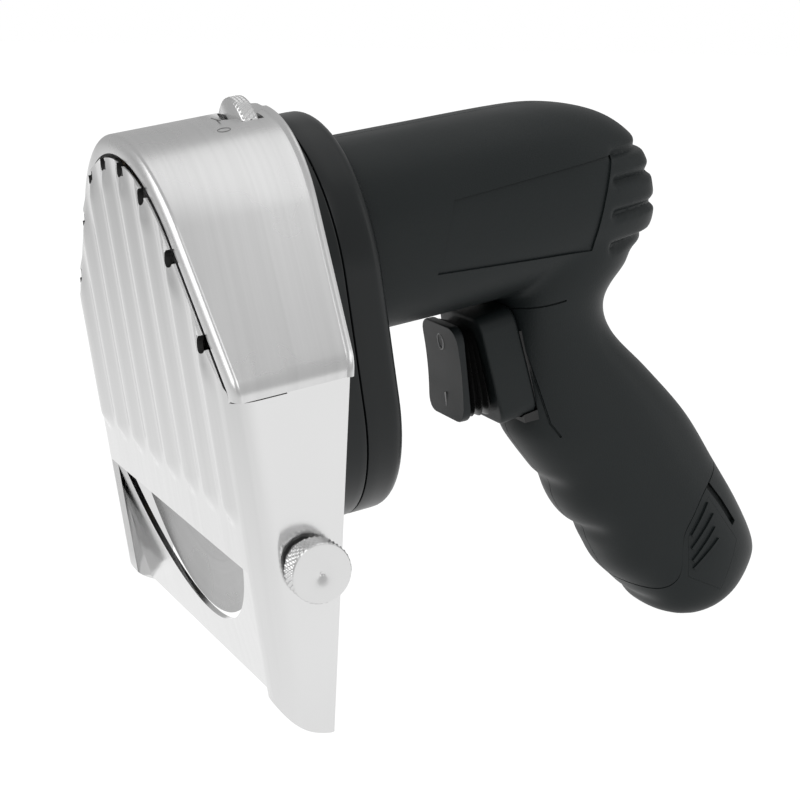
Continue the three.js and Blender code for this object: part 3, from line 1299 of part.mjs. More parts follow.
function switchGroup() {
  const pinHole = (reach) =>
    rodY(ROCKER_PIN_RADIUS + RUNNING_GAP, -reach, reach, ROCKER_PIVOT_X, ROCKER_PIVOT_Z, 12);
  const pinEnd = BEZEL_WIDTH / 2 - ROCKER_PIN_COVER;
  const frame = roundedRectangle(BEZEL_WIDTH / 2, BEZEL_HEIGHT / 2, BEZEL_CORNER);
  const frameHole = roundedRectangle(BEZEL_HOLE_HALF_WIDTH, BEZEL_HOLE_HALF_HEIGHT, BEZEL_CORNER);
  const tube = cut(alongX(frame, 0, BEZEL_THICKNESS, 2), alongX(frameHole, -FAR, FAR, 2));
  const bezel = leaning(tube, BEZEL_LEAN, BEZEL_X, BEZEL_CENTRE_Z);
  add("switch_bezel", cut(bezel, pinHole(pinEnd)), switchBlack);

  const paddleBlank = alongX(
    roundedRectangle(PADDLE_WIDTH / 2, PADDLE_HEIGHT / 2, PADDLE_CORNER), 0, PADDLE_THICKNESS, 3,
  );
  const sag = PADDLE_HOLLOW;
  const hollowRadius = (PADDLE_HEIGHT ** 2 / 4 + sag ** 2) / (2 * sag);
  const scoop = rodY(hollowRadius, -FAR, FAR, sag - hollowRadius, 0, 120);
  const paddle = leaning(cut(paddleBlank, scoop), PADDLE_LEAN, PADDLE_FACE_X, PADDLE_CENTRE_Z);
  const stem = box(
    PADDLE_FACE_X + PADDLE_THICKNESS / 2, ROCKER_PIVOT_X + STEM_HALF_HEIGHT,
    -STEM_HALF_WIDTH, STEM_HALF_WIDTH,
    ROCKER_PIVOT_Z - STEM_HALF_HEIGHT, ROCKER_PIVOT_Z + STEM_HALF_HEIGHT,
  );
  add("rocker_paddle", cut(join(paddle, stem), pinHole(FAR)), switchBlack);

  add("rocker_bellows", bellowsBody(), bootRubber);

  const body = cut(
    box(
      SWITCH_FRONT_X, SWITCH_FRONT_X + SWITCH_LENGTH, -SWITCH_HALF_WIDTH, SWITCH_HALF_WIDTH,
      SWITCH_BOTTOM_Z, SWITCH_TOP_Z,
    ),
    bezelRoom(),
  );
  add("switch_body", body, innerBlack);
  const pinHalf = pinEnd - GAP;
  const pin = rodY(ROCKER_PIN_RADIUS, -pinHalf, pinHalf, ROCKER_PIVOT_X, ROCKER_PIVOT_Z, 12);
  add("rocker_pin", pin, zincSteel);
}

// Folded boot between the paddle's back and the bezel, open through the middle for the stem
function bellowsBody() {
  const steps = BOOT_FOLDS * 2;
  const squared = squaredEllipse(1, 1, BOOT_SQUARENESS, 20);
  const rings = [];
  for (let i = 0; i <= steps; i++) {
    const t = i / steps;
    const margin = BOOT_MARGIN + (i % 2 === 0 ? BOOT_FOLD_DEPTH : 0);
    const halfY = PADDLE_WIDTH / 2 - margin;
    const halfZ = PADDLE_HEIGHT / 2 - margin;
    const x = THREE.MathUtils.lerp(PADDLE_FACE_X + PADDLE_THICKNESS + GAP, BEZEL_X - GAP, t);
    const z = THREE.MathUtils.lerp(PADDLE_CENTRE_Z, BOOT_REAR_Z, t);
    const slope = Math.tan(THREE.MathUtils.lerp(PADDLE_LEAN, BEZEL_LEAN, t));
    rings.push(
      squared.map(([u, v]) => new THREE.Vector3(x + slope * halfZ * v, halfY * u, z + halfZ * v)),
    );
  }
  const outer = loft(rings, squared.map(([u, v]) => new THREE.Vector2(u, v)));
  return cut(
    outer,
    box(
      PADDLE_FACE_X, FAR, -BOOT_BORE_WIDTH / 2, BOOT_BORE_WIDTH / 2,
      ROCKER_PIVOT_Z - BOOT_BORE_HEIGHT / 2, ROCKER_PIVOT_Z + BOOT_BORE_HEIGHT / 2,
    ),
  );
}

// Battery and what it meets at the top of its well
function batteryGroup() {
  const capBlock = bodyOuter.intersect(capRegion(0));
  const latchRoom = LATCH_INNER_Y - LATCH_TRAVEL - PAST;
  const sides = [[-1, "right"], [1, "left"]];
  const tongue = (side, grow, inner) =>
    side > 0 ? latchRegion(grow, inner, FAR) : latchRegion(grow, -FAR, -inner);
  const pockets = sides.map(([side]) => tongue(side, GAP, latchRoom));
  add("battery_cap", cut(capBlock, batteryWell(GAP), ...pockets), shellBlack);

  for (const [side, word] of sides) {
    add(`battery_latch_${word}`, bodyOuter.intersect(tongue(side, -GAP, LATCH_INNER_Y)), shellBlack);
    const springY = side * (latchRoom + LATCH_SPRING_THICKNESS);
    const half = LATCH_SPRING_THICKNESS / 2;
    const spring = alongY(rectangle(...LATCH_SPRING_X, ...LATCH_SPRING_Z), springY - half, springY + half);
    add(`latch_spring_${word}`, spring, zincSteel);
  }

  const top = -CELL_TOP_S;
  const cellEnd = top - CELL_LENGTH;
  const trayFloor = cellEnd - CONTACT_THICKNESS - 2 * GAP;
  const trayBlock = box(
    BATTERY_P - trayHalfP, BATTERY_P + trayHalfP, -trayHalfY, trayHalfY, trayFloor - TRAY_BASE, top,
  );
  const trayRoom = box(
    BATTERY_P - FAR, BATTERY_P + FAR, TRAY_WALL - trayHalfY, trayHalfY - TRAY_WALL,
    trayFloor, top + PAST,
  );
  add("battery_tray", raked(cut(trayBlock, trayRoom)), innerBlack);
  for (const [side, word] of [[-1, "front"], [1, "rear"]]) {
    const radius = CELL_RADIUS - RUNNING_GAP / 2;
    const cell = new THREE.CylinderGeometry(radius, radius, CELL_LENGTH, 16);
    cell.rotateX(Math.PI / 2).translate(BATTERY_P + side * CELL_RADIUS, 0, top - CELL_LENGTH / 2);
    add(`battery_cell_${word}`, raked(solid(cell)), cellGreen);
  }
  const contactHalf = CELL_RADIUS + CONTACT_REACH;
  const contact = box(
    BATTERY_P - contactHalf, BATTERY_P + contactHalf, -CONTACT_HALF_WIDTH, CONTACT_HALF_WIDTH,
    cellEnd - GAP - CONTACT_THICKNESS, cellEnd - GAP,
  );
  add("battery_contact", raked(contact), copper);
  const block = box(
    BATTERY_P - TERMINAL_HALF_DEPTH, BATTERY_P + TERMINAL_HALF_DEPTH, -FAR, FAR,
    top + GAP, top + GAP + TERMINAL_HEIGHT,
  );
  add("terminal_block", raked(block).intersect(handleBody(SHELL_WALL + GAP)), innerBlack);
  const boardBottom = SWITCH_TOP_Z + GAP;
  const board = box(
    ...BOARD_X, -BOARD_HALF_WIDTH, BOARD_HALF_WIDTH, boardBottom, boardBottom + BOARD_THICKNESS,
  );
  add("control_board", board, boardGreen);
}

bladeGroup();
gearboxGroup();
add("blade_housing", housingBody(), satinSteel);
add("thickness_guide", guideBody(), polishedSteel);
adjusterGroup();
lockGroup();
motorGroup();
shellGroup();
switchGroup();
batteryGroup();

// Stand the tool up and put the origin on the floor under the middle of its box.
tool.rotation.y = -STAND_TILT;
part.updateMatrixWorld(true);
const bounds = new THREE.Box3().setFromObject(part, true);
tool.position.set(-(bounds.min.x + bounds.max.x) / 2, -(bounds.min.y + bounds.max.y) / 2, -bounds.min.z);

export default part;
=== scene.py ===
# %% [markdown]
# # A cordless kebab slicer
#
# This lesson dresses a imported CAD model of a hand-held slicer: a round blade behind a ribbed metal guide,
# a black gearbox, a motor barrel and a raked handle with a battery in its foot. The CAD nodes are a fixed
# frame. Faceted nodes that show are replaced by smooth pieces of the same size; the rest keep their shape
# and only get a finish.

# %% Load the frame
import json
import math

import bpy
import numpy as np
from mathutils import Matrix, Vector

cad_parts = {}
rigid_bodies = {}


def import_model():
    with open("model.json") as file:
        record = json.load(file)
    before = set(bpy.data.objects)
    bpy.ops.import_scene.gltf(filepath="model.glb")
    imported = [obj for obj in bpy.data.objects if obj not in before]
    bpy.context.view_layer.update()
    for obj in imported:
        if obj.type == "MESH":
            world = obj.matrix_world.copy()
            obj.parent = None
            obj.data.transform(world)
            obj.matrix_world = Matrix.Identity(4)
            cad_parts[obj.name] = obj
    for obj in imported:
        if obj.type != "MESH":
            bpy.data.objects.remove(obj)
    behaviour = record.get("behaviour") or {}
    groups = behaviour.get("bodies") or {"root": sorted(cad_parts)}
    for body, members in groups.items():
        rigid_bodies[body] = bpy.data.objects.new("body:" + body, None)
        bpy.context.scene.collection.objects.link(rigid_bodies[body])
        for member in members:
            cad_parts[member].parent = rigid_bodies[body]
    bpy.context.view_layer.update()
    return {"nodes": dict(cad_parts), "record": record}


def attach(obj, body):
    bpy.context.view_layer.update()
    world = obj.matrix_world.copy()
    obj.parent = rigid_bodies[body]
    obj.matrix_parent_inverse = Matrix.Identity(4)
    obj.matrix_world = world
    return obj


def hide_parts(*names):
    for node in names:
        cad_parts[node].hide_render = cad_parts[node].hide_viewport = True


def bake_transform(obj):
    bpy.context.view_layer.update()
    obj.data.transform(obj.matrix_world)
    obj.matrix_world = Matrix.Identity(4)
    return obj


bpy.ops.object.select_all(action="SELECT")
bpy.ops.object.delete()
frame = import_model()
nodes = frame["nodes"]
joints = {joint["name"]: joint for joint in frame["record"]["behaviour"]["joints"]}

# %% [markdown]
# ## The tool's own axes
#
# The slicer stands tipped back on its guide and its battery, which makes it awkward to draw. So every piece
# is drawn in millimetres in the tool's own axes, X rearwards along the blade shaft, Y to the left and Z up,
# and is then stood up in one move. The blade's joint says where those axes lie: its axis is X, and its
# point is 4 mm under the origin.

# %% Stand a piece up
MM = 0.001
BLADE_AXIS_Z = -4.0
shaft_axis = Vector(joints["blade_spin"]["axis"])
TILT = math.atan2(shaft_axis.z, shaft_axis.x)
turned = Matrix.Rotation(-TILT, 4, "Y")
blade_centre = Vector(joints["blade_spin"]["pos_m"])
STANCE = Matrix.Translation(blade_centre - turned @ Vector((0, 0, MM * BLADE_AXIS_Z))) @ turned


def pick(*pieces):
    bpy.ops.object.select_all(action="DESELECT")
    for piece in pieces:
        piece.select_set(True)
    bpy.context.view_layer.objects.active = pieces[0]


def stand_up(piece):
    piece.matrix_world = STANCE
    pick(piece)
    bpy.ops.object.transform_apply(location=True, rotation=True, scale=True)


print("tilt", round(math.degrees(TILT), 2), "degrees")

# %% [markdown]
# ## Camera
#
# The photograph was taken from the front right, a little above the tool, with a long lens. The camera's own
# right, up and back directions are set in one matrix, because the picture is also rolled by two degrees.

# %% Make the camera
eye = Vector((-0.21755, -0.4403, 0.16765))
look = Vector((0.40907, 0.88651, -0.21626)).normalized()
right = Vector((0.91087, -0.4109, 0.03858))
right = (right - look * right.dot(look)).normalized()
up = right.cross(look)
bpy.ops.object.camera_add()
camera = bpy.context.object
camera.name = "photo_camera"
camera.data.sensor_width = 36
camera.data.lens = 90
camera.matrix_world = Matrix.Translation(eye) @ Matrix((right, up, -look)).transposed().to_4x4()
bpy.context.scene.camera = camera
print("camera at", [round(v, 3) for v in eye])

# %% [markdown]
# ## Floor and light
#
# A product shot on white needs even light from large soft sources. Polished metal shows what surrounds it, so
# the surroundings are graded: the sky is bright behind the camera and above, and darker at the far side. The
# floor does the same in reflections, and is white to the camera with a trace of the tool's shadow.

# %% Floor, sky and lamps
def add_node(tree, kind, **values):
    node = tree.nodes.new("ShaderNode" + kind)
    for title, value in values.items():
        setattr(node, title, value)
    return node


def graded(tree, value, low, high, dark, light):
    node = add_node(tree, "MapRange", interpolation_type="SMOOTHSTEP")
    for title, number in (("From Min", low), ("From Max", high), ("To Min", dark), ("To Max", light)):
        node.inputs[title].default_value = number
    tree.links.new(value, node.inputs["Value"])
    return node.outputs["Result"]


def along(tree, vector, direction):
    node = add_node(tree, "VectorMath", operation="DOT_PRODUCT")
    node.inputs[1].default_value = direction
    tree.links.new(vector, node.inputs[0])
    return node.outputs["Value"]


def times(tree, value, factor):
    node = add_node(tree, "Math", operation="MULTIPLY")
    node.inputs[1].default_value = factor
    tree.links.new(value, node.inputs[0])
    return node.outputs[0]


def larger(tree, first, second):
    node = add_node(tree, "Math", operation="MAXIMUM")
    tree.links.new(first, node.inputs[0])
    tree.links.new(second, node.inputs[1])
    return node.outputs[0]


bpy.ops.object.select_all(action="DESELECT")
bpy.ops.mesh.primitive_plane_add(size=6, location=(0, 0, -0.0005))
floor = bpy.context.object
floor.name = "floor"
floor_paint = bpy.data.materials.new("floor_paint")
floor_paint.use_nodes = True
tree = floor_paint.node_tree
tree.nodes.clear()
output = add_node(tree, "OutputMaterial")
matt = add_node(tree, "BsdfDiffuse")
matt.inputs["Color"].default_value = (0.9, 0.9, 0.9, 1)
glow = add_node(tree, "Emission")
rays = add_node(tree, "LightPath")
spot = add_node(tree, "TexCoord")
mirrored = graded(tree, along(tree, spot.outputs["Object"], (1, 0, 0)), -0.55, 0, 0.5, 1.12)
shown = times(tree, rays.outputs["Is Camera Ray"], 1.12)
tree.links.new(larger(tree, shown, mirrored), glow.inputs["Strength"])
seen = larger(tree, rays.outputs["Is Camera Ray"], rays.outputs["Is Glossy Ray"])
blend = add_node(tree, "MixShader")
tree.links.new(times(tree, seen, 0.9), blend.inputs["Fac"])
tree.links.new(matt.outputs[0], blend.inputs[1])
tree.links.new(glow.outputs[0], blend.inputs[2])
tree.links.new(blend.outputs[0], output.inputs["Surface"])
floor.data.materials.append(floor_paint)

world = bpy.data.worlds.new("studio")
bpy.context.scene.world = world
world.use_nodes = True
tree = world.node_tree
tree.nodes.clear()
output = add_node(tree, "OutputWorld")
sky = add_node(tree, "Background")
sky.inputs["Color"].default_value = (1, 1, 1, 1)
direction = add_node(tree, "TexCoord")
level = graded(tree, along(tree, direction.outputs["Generated"], (-0.35, -0.75, 0.55)), -0.7, 0.9, 0.5, 0.62)
rays = add_node(tree, "LightPath")
tree.links.new(larger(tree, rays.outputs["Is Camera Ray"], level), sky.inputs["Strength"])
tree.links.new(sky.outputs[0], output.inputs["Surface"])


def lamp(name, place, target, size, watts):
    bpy.ops.object.light_add(type="AREA", location=place)
    made = bpy.context.object
    made.name = name
    made.data.shape = "RECTANGLE"
    made.data.size = size[0]
    made.data.size_y = size[1]
    made.data.energy = watts
    made.rotation_euler = (Vector(target) - Vector(place)).to_track_quat("-Z", "Y").to_euler()


lamp("key_softbox", (-0.55, -0.75, 0.75), (0, 0, 0.07), (0.7, 0.7), 1.6)
lamp("left_softbox", (-0.92, 0.33, 0.25), (0, 0, 0.07), (0.7, 0.6), 2.0)
lamp("top_softbox", (0.1, 0.05, 0.95), (0, 0, 0.07), (0.9, 0.6), 0.9)
lamp("rear_softbox", (0.75, -0.45, 0.45), (0, 0, 0.07), (0.4, 0.8), 0.8)
bpy.context.scene.view_settings.view_transform = "Standard"

# %% [markdown]
# ## Shared effects
#
# Three effects show up in more than one finish: the fine straight lines of brushed sheet metal, the grain of
# moulded plastic, and the faint smudges that break up every gloss. Each is a node group with named sockets,
# built once and placed in a material with its own values. A group only puts out what changes over the
# surface; plain numbers stay on the shader.

# %% Node groups
def new_group(name, inputs, outputs):
    group = bpy.data.node_groups.new(name, "ShaderNodeTree")
    for title, kind in inputs:
        group.interface.new_socket(title, in_out="INPUT", socket_type=kind)
    for title in outputs:
        group.interface.new_socket(title, in_out="OUTPUT", socket_type="NodeSocketFloat")
    start = group.nodes.new("NodeGroupInput")
    end = group.nodes.new("NodeGroupOutput")
    return group, start, end


def noise(tree, vector, scale, detail):
    node = tree.nodes.new("ShaderNodeTexNoise")
    node.inputs["Detail"].default_value = detail
    tree.links.new(vector, node.inputs["Vector"])
    if isinstance(scale, (int, float)):
        node.inputs["Scale"].default_value = scale
    else:
        tree.links.new(scale, node.inputs["Scale"])
    return node.outputs["Fac"]


brushed_lines, start, end = new_group("brushed_lines", [("Vector", "NodeSocketVector")], ["Height", "Tone"])
brushed_lines.links.new(noise(brushed_lines, start.outputs["Vector"], 1, 3), end.inputs["Height"])
brushed_lines.links.new(noise(brushed_lines, start.outputs["Vector"], 0.22, 2), end.inputs["Tone"])

moulded_grain, start, end = new_group(
    "moulded_grain", [("Vector", "NodeSocketVector"), ("Scale", "NodeSocketFloat")], ["Height"]
)
pits = moulded_grain.nodes.new("ShaderNodeTexVoronoi")
moulded_grain.links.new(start.outputs["Vector"], pits.inputs["Vector"])
moulded_grain.links.new(start.outputs["Scale"], pits.inputs["Scale"])
grain = noise(moulded_grain, start.outputs["Vector"], start.outputs["Scale"], 2)
both = moulded_grain.nodes.new("ShaderNodeMath")
moulded_grain.links.new(pits.outputs["Distance"], both.inputs[0])
moulded_grain.links.new(grain, both.inputs[1])
moulded_grain.links.new(both.outputs[0], end.inputs["Height"])

smudges, start, end = new_group(
    "smudges",
    [("Vector", "NodeSocketVector"), ("Scale", "NodeSocketFloat"), ("Low", "NodeSocketFloat"),
     ("High", "NodeSocketFloat")],
    ["Value", "Mask"],
)
cloud = noise(smudges, start.outputs["Vector"], start.outputs["Scale"], 4)
spread = smudges.nodes.new("ShaderNodeMapRange")
spread.inputs["From Min"].default_value = 0.3
spread.inputs["From Max"].default_value = 0.7
smudges.links.new(cloud, spread.inputs["Value"])
smudges.links.new(start.outputs["Low"], spread.inputs["To Min"])
smudges.links.new(start.outputs["High"], spread.inputs["To Max"])
smudges.links.new(spread.outputs["Result"], end.inputs["Value"])
smudges.links.new(cloud, end.inputs["Mask"])

turned_lines, start, end = new_group("turned_lines", [("Vector", "NodeSocketVector")], ["Height", "Tone"])
split = turned_lines.nodes.new("ShaderNodeSeparateXYZ")
turned_lines.links.new(start.outputs["Vector"], split.inputs[0])
flat = turned_lines.nodes.new("ShaderNodeCombineXYZ")
turned_lines.links.new(split.outputs["Y"], flat.inputs["X"])
turned_lines.links.new(split.outputs["Z"], flat.inputs["Y"])
reach = turned_lines.nodes.new("ShaderNodeVectorMath")
reach.operation = "LENGTH"
turned_lines.links.new(flat.outputs[0], reach.inputs[0])
angle = turned_lines.nodes.new("ShaderNodeMath")
angle.operation = "ARCTAN2"
turned_lines.links.new(split.outputs["Z"], angle.inputs[0])
turned_lines.links.new(split.outputs["Y"], angle.inputs[1])
rings = turned_lines.nodes.new("ShaderNodeCombineXYZ")
turned_lines.links.new(reach.outputs["Value"], rings.inputs["X"])
turned_lines.links.new(angle.outputs[0], rings.inputs["Y"])
stretch = turned_lines.nodes.new("ShaderNodeVectorMath")
stretch.operation = "MULTIPLY"
stretch.inputs[1].default_value = (5200, 1.2, 1)
turned_lines.links.new(rings.outputs[0], stretch.inputs[0])
turned_lines.links.new(noise(turned_lines, stretch.outputs[0], 1, 3), end.inputs["Height"])
turned_lines.links.new(noise(turned_lines, stretch.outputs[0], 0.15, 2), end.inputs["Tone"])
print("groups", [group.name for group in bpy.data.node_groups])

# %% [markdown]
# ## Finishes
#
# Every finish starts the same way: a Principled shader whose colour drifts a little, whose roughness comes
# from the smudges, and whose bump comes from the lines or the grain. Object coordinates keep the pattern
# still, and a Mapping node turns it into the tool's axes so that the brushing follows the sheet.

# %% Materials
TOOL_TURN = (0, TILT, 0)


def new_finish(name, metallic, specular=0.5):
    made = bpy.data.materials.new(name)
    made.use_nodes = True
    shader = made.node_tree.nodes["Principled BSDF"]
    shader.inputs["Metallic"].default_value = metallic
    shader.inputs["Specular IOR Level"].default_value = specular
    place = made.node_tree.nodes.new("ShaderNodeTexCoord")
    return made, made.node_tree, shader, place.outputs["Object"]


def put(tree, group, **values):
    node = tree.nodes.new("ShaderNodeGroup")
    node.node_tree = group
    for title, value in values.items():
        if isinstance(value, (int, float)):
            node.inputs[title].default_value = value
        else:
            tree.links.new(value, node.inputs[title])
    return node


def tint(tree, shader, mask, dark, light):
    mixed = tree.nodes.new("ShaderNodeMix")
    mixed.data_type = "RGBA"
    mixed.inputs["A"].default_value = (*dark, 1)
    mixed.inputs["B"].default_value = (*light, 1)
    tree.links.new(mask, mixed.inputs["Factor"])
    tree.links.new(mixed.outputs["Result"], shader.inputs["Base Color"])


def bump(tree, shader, height, strength, distance):
    node = tree.nodes.new("ShaderNodeBump")
    node.inputs["Strength"].default_value = strength
    node.inputs["Distance"].default_value = distance
    tree.links.new(height, node.inputs["Height"])
    tree.links.new(node.outputs["Normal"], shader.inputs["Normal"])


def grey(value, warmth=0.0):
    return (value * (1 + warmth), value, value * (1 - warmth))


def sheet_metal(name, dark, light, rough, stretch, depth):
    made, tree, shader, place = new_finish(name, 1.0)
    mapping = tree.nodes.new("ShaderNodeMapping")
    mapping.inputs["Rotation"].default_value = TOOL_TURN
    mapping.inputs["Scale"].default_value = stretch
    tree.links.new(place, mapping.inputs["Vector"])
    lines = put(tree, brushed_lines, Vector=mapping.outputs["Vector"])
    marks = put(tree, smudges, Vector=place, Scale=35.0, Low=rough[0], High=rough[1])
    tint(tree, shader, lines.outputs["Tone"], dark, light)
    tree.links.new(marks.outputs["Value"], shader.inputs["Roughness"])
    bump(tree, shader, lines.outputs["Height"], depth, 0.00002)
    return made


def turned_metal(name, dark, light, rough, centre, turn, depth):
    made, tree, shader, place = new_finish(name, 1.0)
    mapping = tree.nodes.new("ShaderNodeMapping")
    mapping.vector_type = "TEXTURE"
    mapping.inputs["Location"].default_value = centre
    mapping.inputs["Rotation"].default_value = turn
    tree.links.new(place, mapping.inputs["Vector"])
    lines = put(tree, turned_lines, Vector=mapping.outputs["Vector"])
    marks = put(tree, smudges, Vector=place, Scale=60.0, Low=rough[0], High=rough[1])
    tint(tree, shader, lines.outputs["Tone"], dark, light)
    tree.links.new(marks.outputs["Value"], shader.inputs["Roughness"])
    bump(tree, shader, lines.outputs["Height"], depth, 0.00002)
    return made


def moulded(name, dark, light, rough, scale, depth, metallic=0.0, specular=0.5):
    made, tree, shader, place = new_finish(name, metallic, specular)
    marks = put(tree, smudges, Vector=place, Scale=45.0, Low=rough[0], High=rough[1])
    tint(tree, shader, marks.outputs["Mask"], dark, light)
    tree.links.new(marks.outputs["Value"], shader.inputs["Roughness"])
    texture = put(tree, moulded_grain, Vector=place, Scale=scale)
    bump(tree, shader, texture.outputs["Height"], depth, 0.00004)
    return made


finish = {
    "band_steel": sheet_metal("band_steel", grey(0.62), grey(0.72), (0.24, 0.32), (3500, 40, 40), 0.35),
    "guide_steel": sheet_metal("guide_steel", grey(0.66), grey(0.74), (0.13, 0.2), (60, 3000, 60), 0.18),
    "blade_steel": turned_metal(
        "blade_steel", grey(0.3), grey(0.37), (0.24, 0.32), STANCE @ Vector((0, 0, MM * BLADE_AXIS_Z)),
        (0, -TILT, 0), 0.35,
    ),
    "knurled_chrome": moulded("knurled_chrome", grey(0.62), grey(0.72), (0.16, 0.24), 900.0, 0.1, 1.0),
    "zinc_steel": moulded("zinc_steel", grey(0.5), grey(0.6), (0.28, 0.4), 1500.0, 0.15, 1.0),
    "gear_steel": moulded("gear_steel", grey(0.42), grey(0.5), (0.35, 0.5), 1200.0, 0.2, 1.0),
    "nut_brass": moulded("nut_brass", (0.45, 0.3, 0.1), (0.55, 0.38, 0.14), (0.22, 0.35), 1200.0, 0.15, 1.0),
    "copper": moulded("copper", (0.42, 0.17, 0.07), (0.5, 0.22, 0.1), (0.28, 0.42), 1500.0, 0.3, 1.0),
    "magnet": moulded("magnet", grey(0.05), grey(0.07), (0.55, 0.75), 1500.0, 0.4),
    "gearbox_black": moulded(
        "gearbox_black", (0.0085, 0.0105, 0.011), (0.011, 0.013, 0.0135), (0.3, 0.38), 1600.0, 0.08, 0.0, 0.3,
    ),
    "shell_black": moulded(
        "shell_black", (0.0095, 0.0125, 0.013), (0.012, 0.0155, 0.016), (0.42, 0.52), 2600.0, 0.35, 0.0, 0.25,
    ),
    "switch_grey": moulded(
        "switch_grey", (0.011, 0.014, 0.015), (0.014, 0.017, 0.018), (0.38, 0.48), 2600.0, 0.25, 0.0, 0.25,
    ),
    "inner_black": moulded("inner_black", grey(0.012), grey(0.016), (0.5, 0.62), 2000.0, 0.3),
    "boot_rubber": moulded("boot_rubber", grey(0.006), grey(0.009), (0.22, 0.34), 1500.0, 0.12, 0.0, 0.3),
    "cell_wrap": moulded("cell_wrap", (0.04, 0.2, 0.09), (0.05, 0.24, 0.11), (0.25, 0.35), 900.0, 0.1),
    "board_green": moulded("board_green", (0.01, 0.09, 0.04), (0.014, 0.11, 0.05), (0.35, 0.5), 1800.0, 0.2),
    "mark_paint": moulded("mark_paint", grey(0.5), grey(0.58), (0.45, 0.55), 2600.0, 0.1),
    "engraving": moulded("engraving", grey(0.2), grey(0.26), (0.4, 0.5), 2600.0, 0.1, 1.0),
}
slots = {entry["node"]: entry["material_slot"] for entry in frame["record"]["subparts"]}
for name, node in nodes.items():
    node.data.materials.clear()
    node.data.materials.append(finish[slots[name]])
print("finishes", len(finish))

# %% [markdown]
# ## Tools for modelling
#
# Lofted shapes such as the barrel start as a flat grid, whose rows are then bent onto rings, like a sheet
# wrapped round a form. Flat-sided blocks start as a filled circle, whose corners become an outline that is
# extruded. Booleans with the Manifold solver join and cut them.

# %% Grid skins, blocks and booleans
def edit(piece, *steps):
    pick(piece)
    bpy.ops.object.mode_set(mode="EDIT")
    bpy.ops.mesh.select_all(action="SELECT")
    for step in steps:
        step()
    bpy.ops.object.mode_set(mode="OBJECT")


def merge():
    bpy.ops.mesh.remove_doubles(threshold=1e-6)


def close_holes():
    bpy.ops.mesh.fill_holes(sides=0)


def turn_out():
    bpy.ops.mesh.select_all(action="SELECT")
    bpy.ops.mesh.normals_make_consistent(inside=False)


def grid_skin(name, rings, closed=True, capped=True):
    points = np.array(rings, dtype=float)
    if closed:
        points = np.concatenate([points, points[:, :1]], axis=1)
    rows, columns = points.shape[:2]
    bpy.ops.object.select_all(action="DESELECT")
    bpy.ops.mesh.primitive_grid_add(x_subdivisions=columns - 1, y_subdivisions=rows - 1)
    piece = bpy.context.object
    piece.name = name
    piece.data.vertices.foreach_set("co", (points.reshape(-1, 3) * MM).ravel())
    edit(piece, merge)
    if capped:
        edit(piece, close_holes, turn_out)
    return piece


def block(name, outline, low, high, axis):
    bpy.ops.object.select_all(action="DESELECT")
    bpy.ops.mesh.primitive_circle_add(vertices=len(outline), fill_type="NGON")
    piece = bpy.context.object
    piece.name = name
    for vertex, (u, v) in zip(piece.data.vertices, outline):
        vertex.co = MM * Vector((low, u, v) if axis == "X" else (u, low, v))
    length = MM * (high - low)
    move = {"value": (length, 0, 0) if axis == "X" else (0, length, 0)}
    edit(piece, lambda: bpy.ops.mesh.extrude_region_move(TRANSFORM_OT_translate=move), turn_out)
    return piece


def apply(piece, kind, **settings):
    change = piece.modifiers.new(kind.title(), kind)
    for title, value in settings.items():
        setattr(change, title, value)
    pick(piece)
    bpy.ops.object.modifier_apply(modifier=change.name)


def combine(piece, other, operation, keep=False):
    apply(piece, "BOOLEAN", operation=operation, solver="MANIFOLD", object=other)
    if not keep:
        bpy.data.objects.remove(other, do_unlink=True)


def copy_of(piece, name):
    pick(piece)
    bpy.ops.object.duplicate()
    made = bpy.context.object
    made.name = name
    return made


def dress(piece, body, slot, *replaced):
    stand_up(piece)
    piece.data.materials.clear()
    piece.data.materials.append(finish[slot])
    if body:
        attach(piece, body)
    if replaced:
        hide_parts(*replaced)


def smooth(piece, degrees):
    pick(piece)
    bpy.ops.object.shade_smooth_by_angle(angle=math.radians(degrees))


def through(*points):
    u, v = np.array(points, dtype=float).T
    slope = np.empty_like(v)
    slope[1:-1] = (v[2:] - v[:-2]) / (u[2:] - u[:-2])
    slope[0] = (v[1] - v[0]) / (u[1] - u[0])
    slope[-1] = (v[-1] - v[-2]) / (u[-1] - u[-2])

    def value(at):
        i = np.clip(np.searchsorted(u, at), 1, len(u) - 1)
        step = u[i] - u[i - 1]
        t = np.clip((at - u[i - 1]) / step, 0, 1)
        return (
            (2 * t**3 - 3 * t**2 + 1) * v[i - 1] + (t**3 - 2 * t**2 + t) * step * slope[i - 1]
            + (3 * t**2 - 2 * t**3) * v[i] + (t**3 - t**2) * step * slope[i]
        )

    return value


def squared_ring(count, squareness):
    angle = np.linspace(0, 2 * np.pi, count, endpoint=False)
    power = 2 / squareness
    bend = lambda value: np.sign(value) * np.abs(value) ** power
    return bend(np.cos(angle)), bend(np.sin(angle))


# %% [markdown]
# ## Barrel and handle
#
# On the real tool the barrel and the handle are two moulded halves whose forms run into each other. Two
# lofts are joined, remeshed into even small faces and smoothed, which melts the sharp line between them into
# the soft neck that the photograph shows. Remeshing would lose fine lines, so those are cut afterwards.

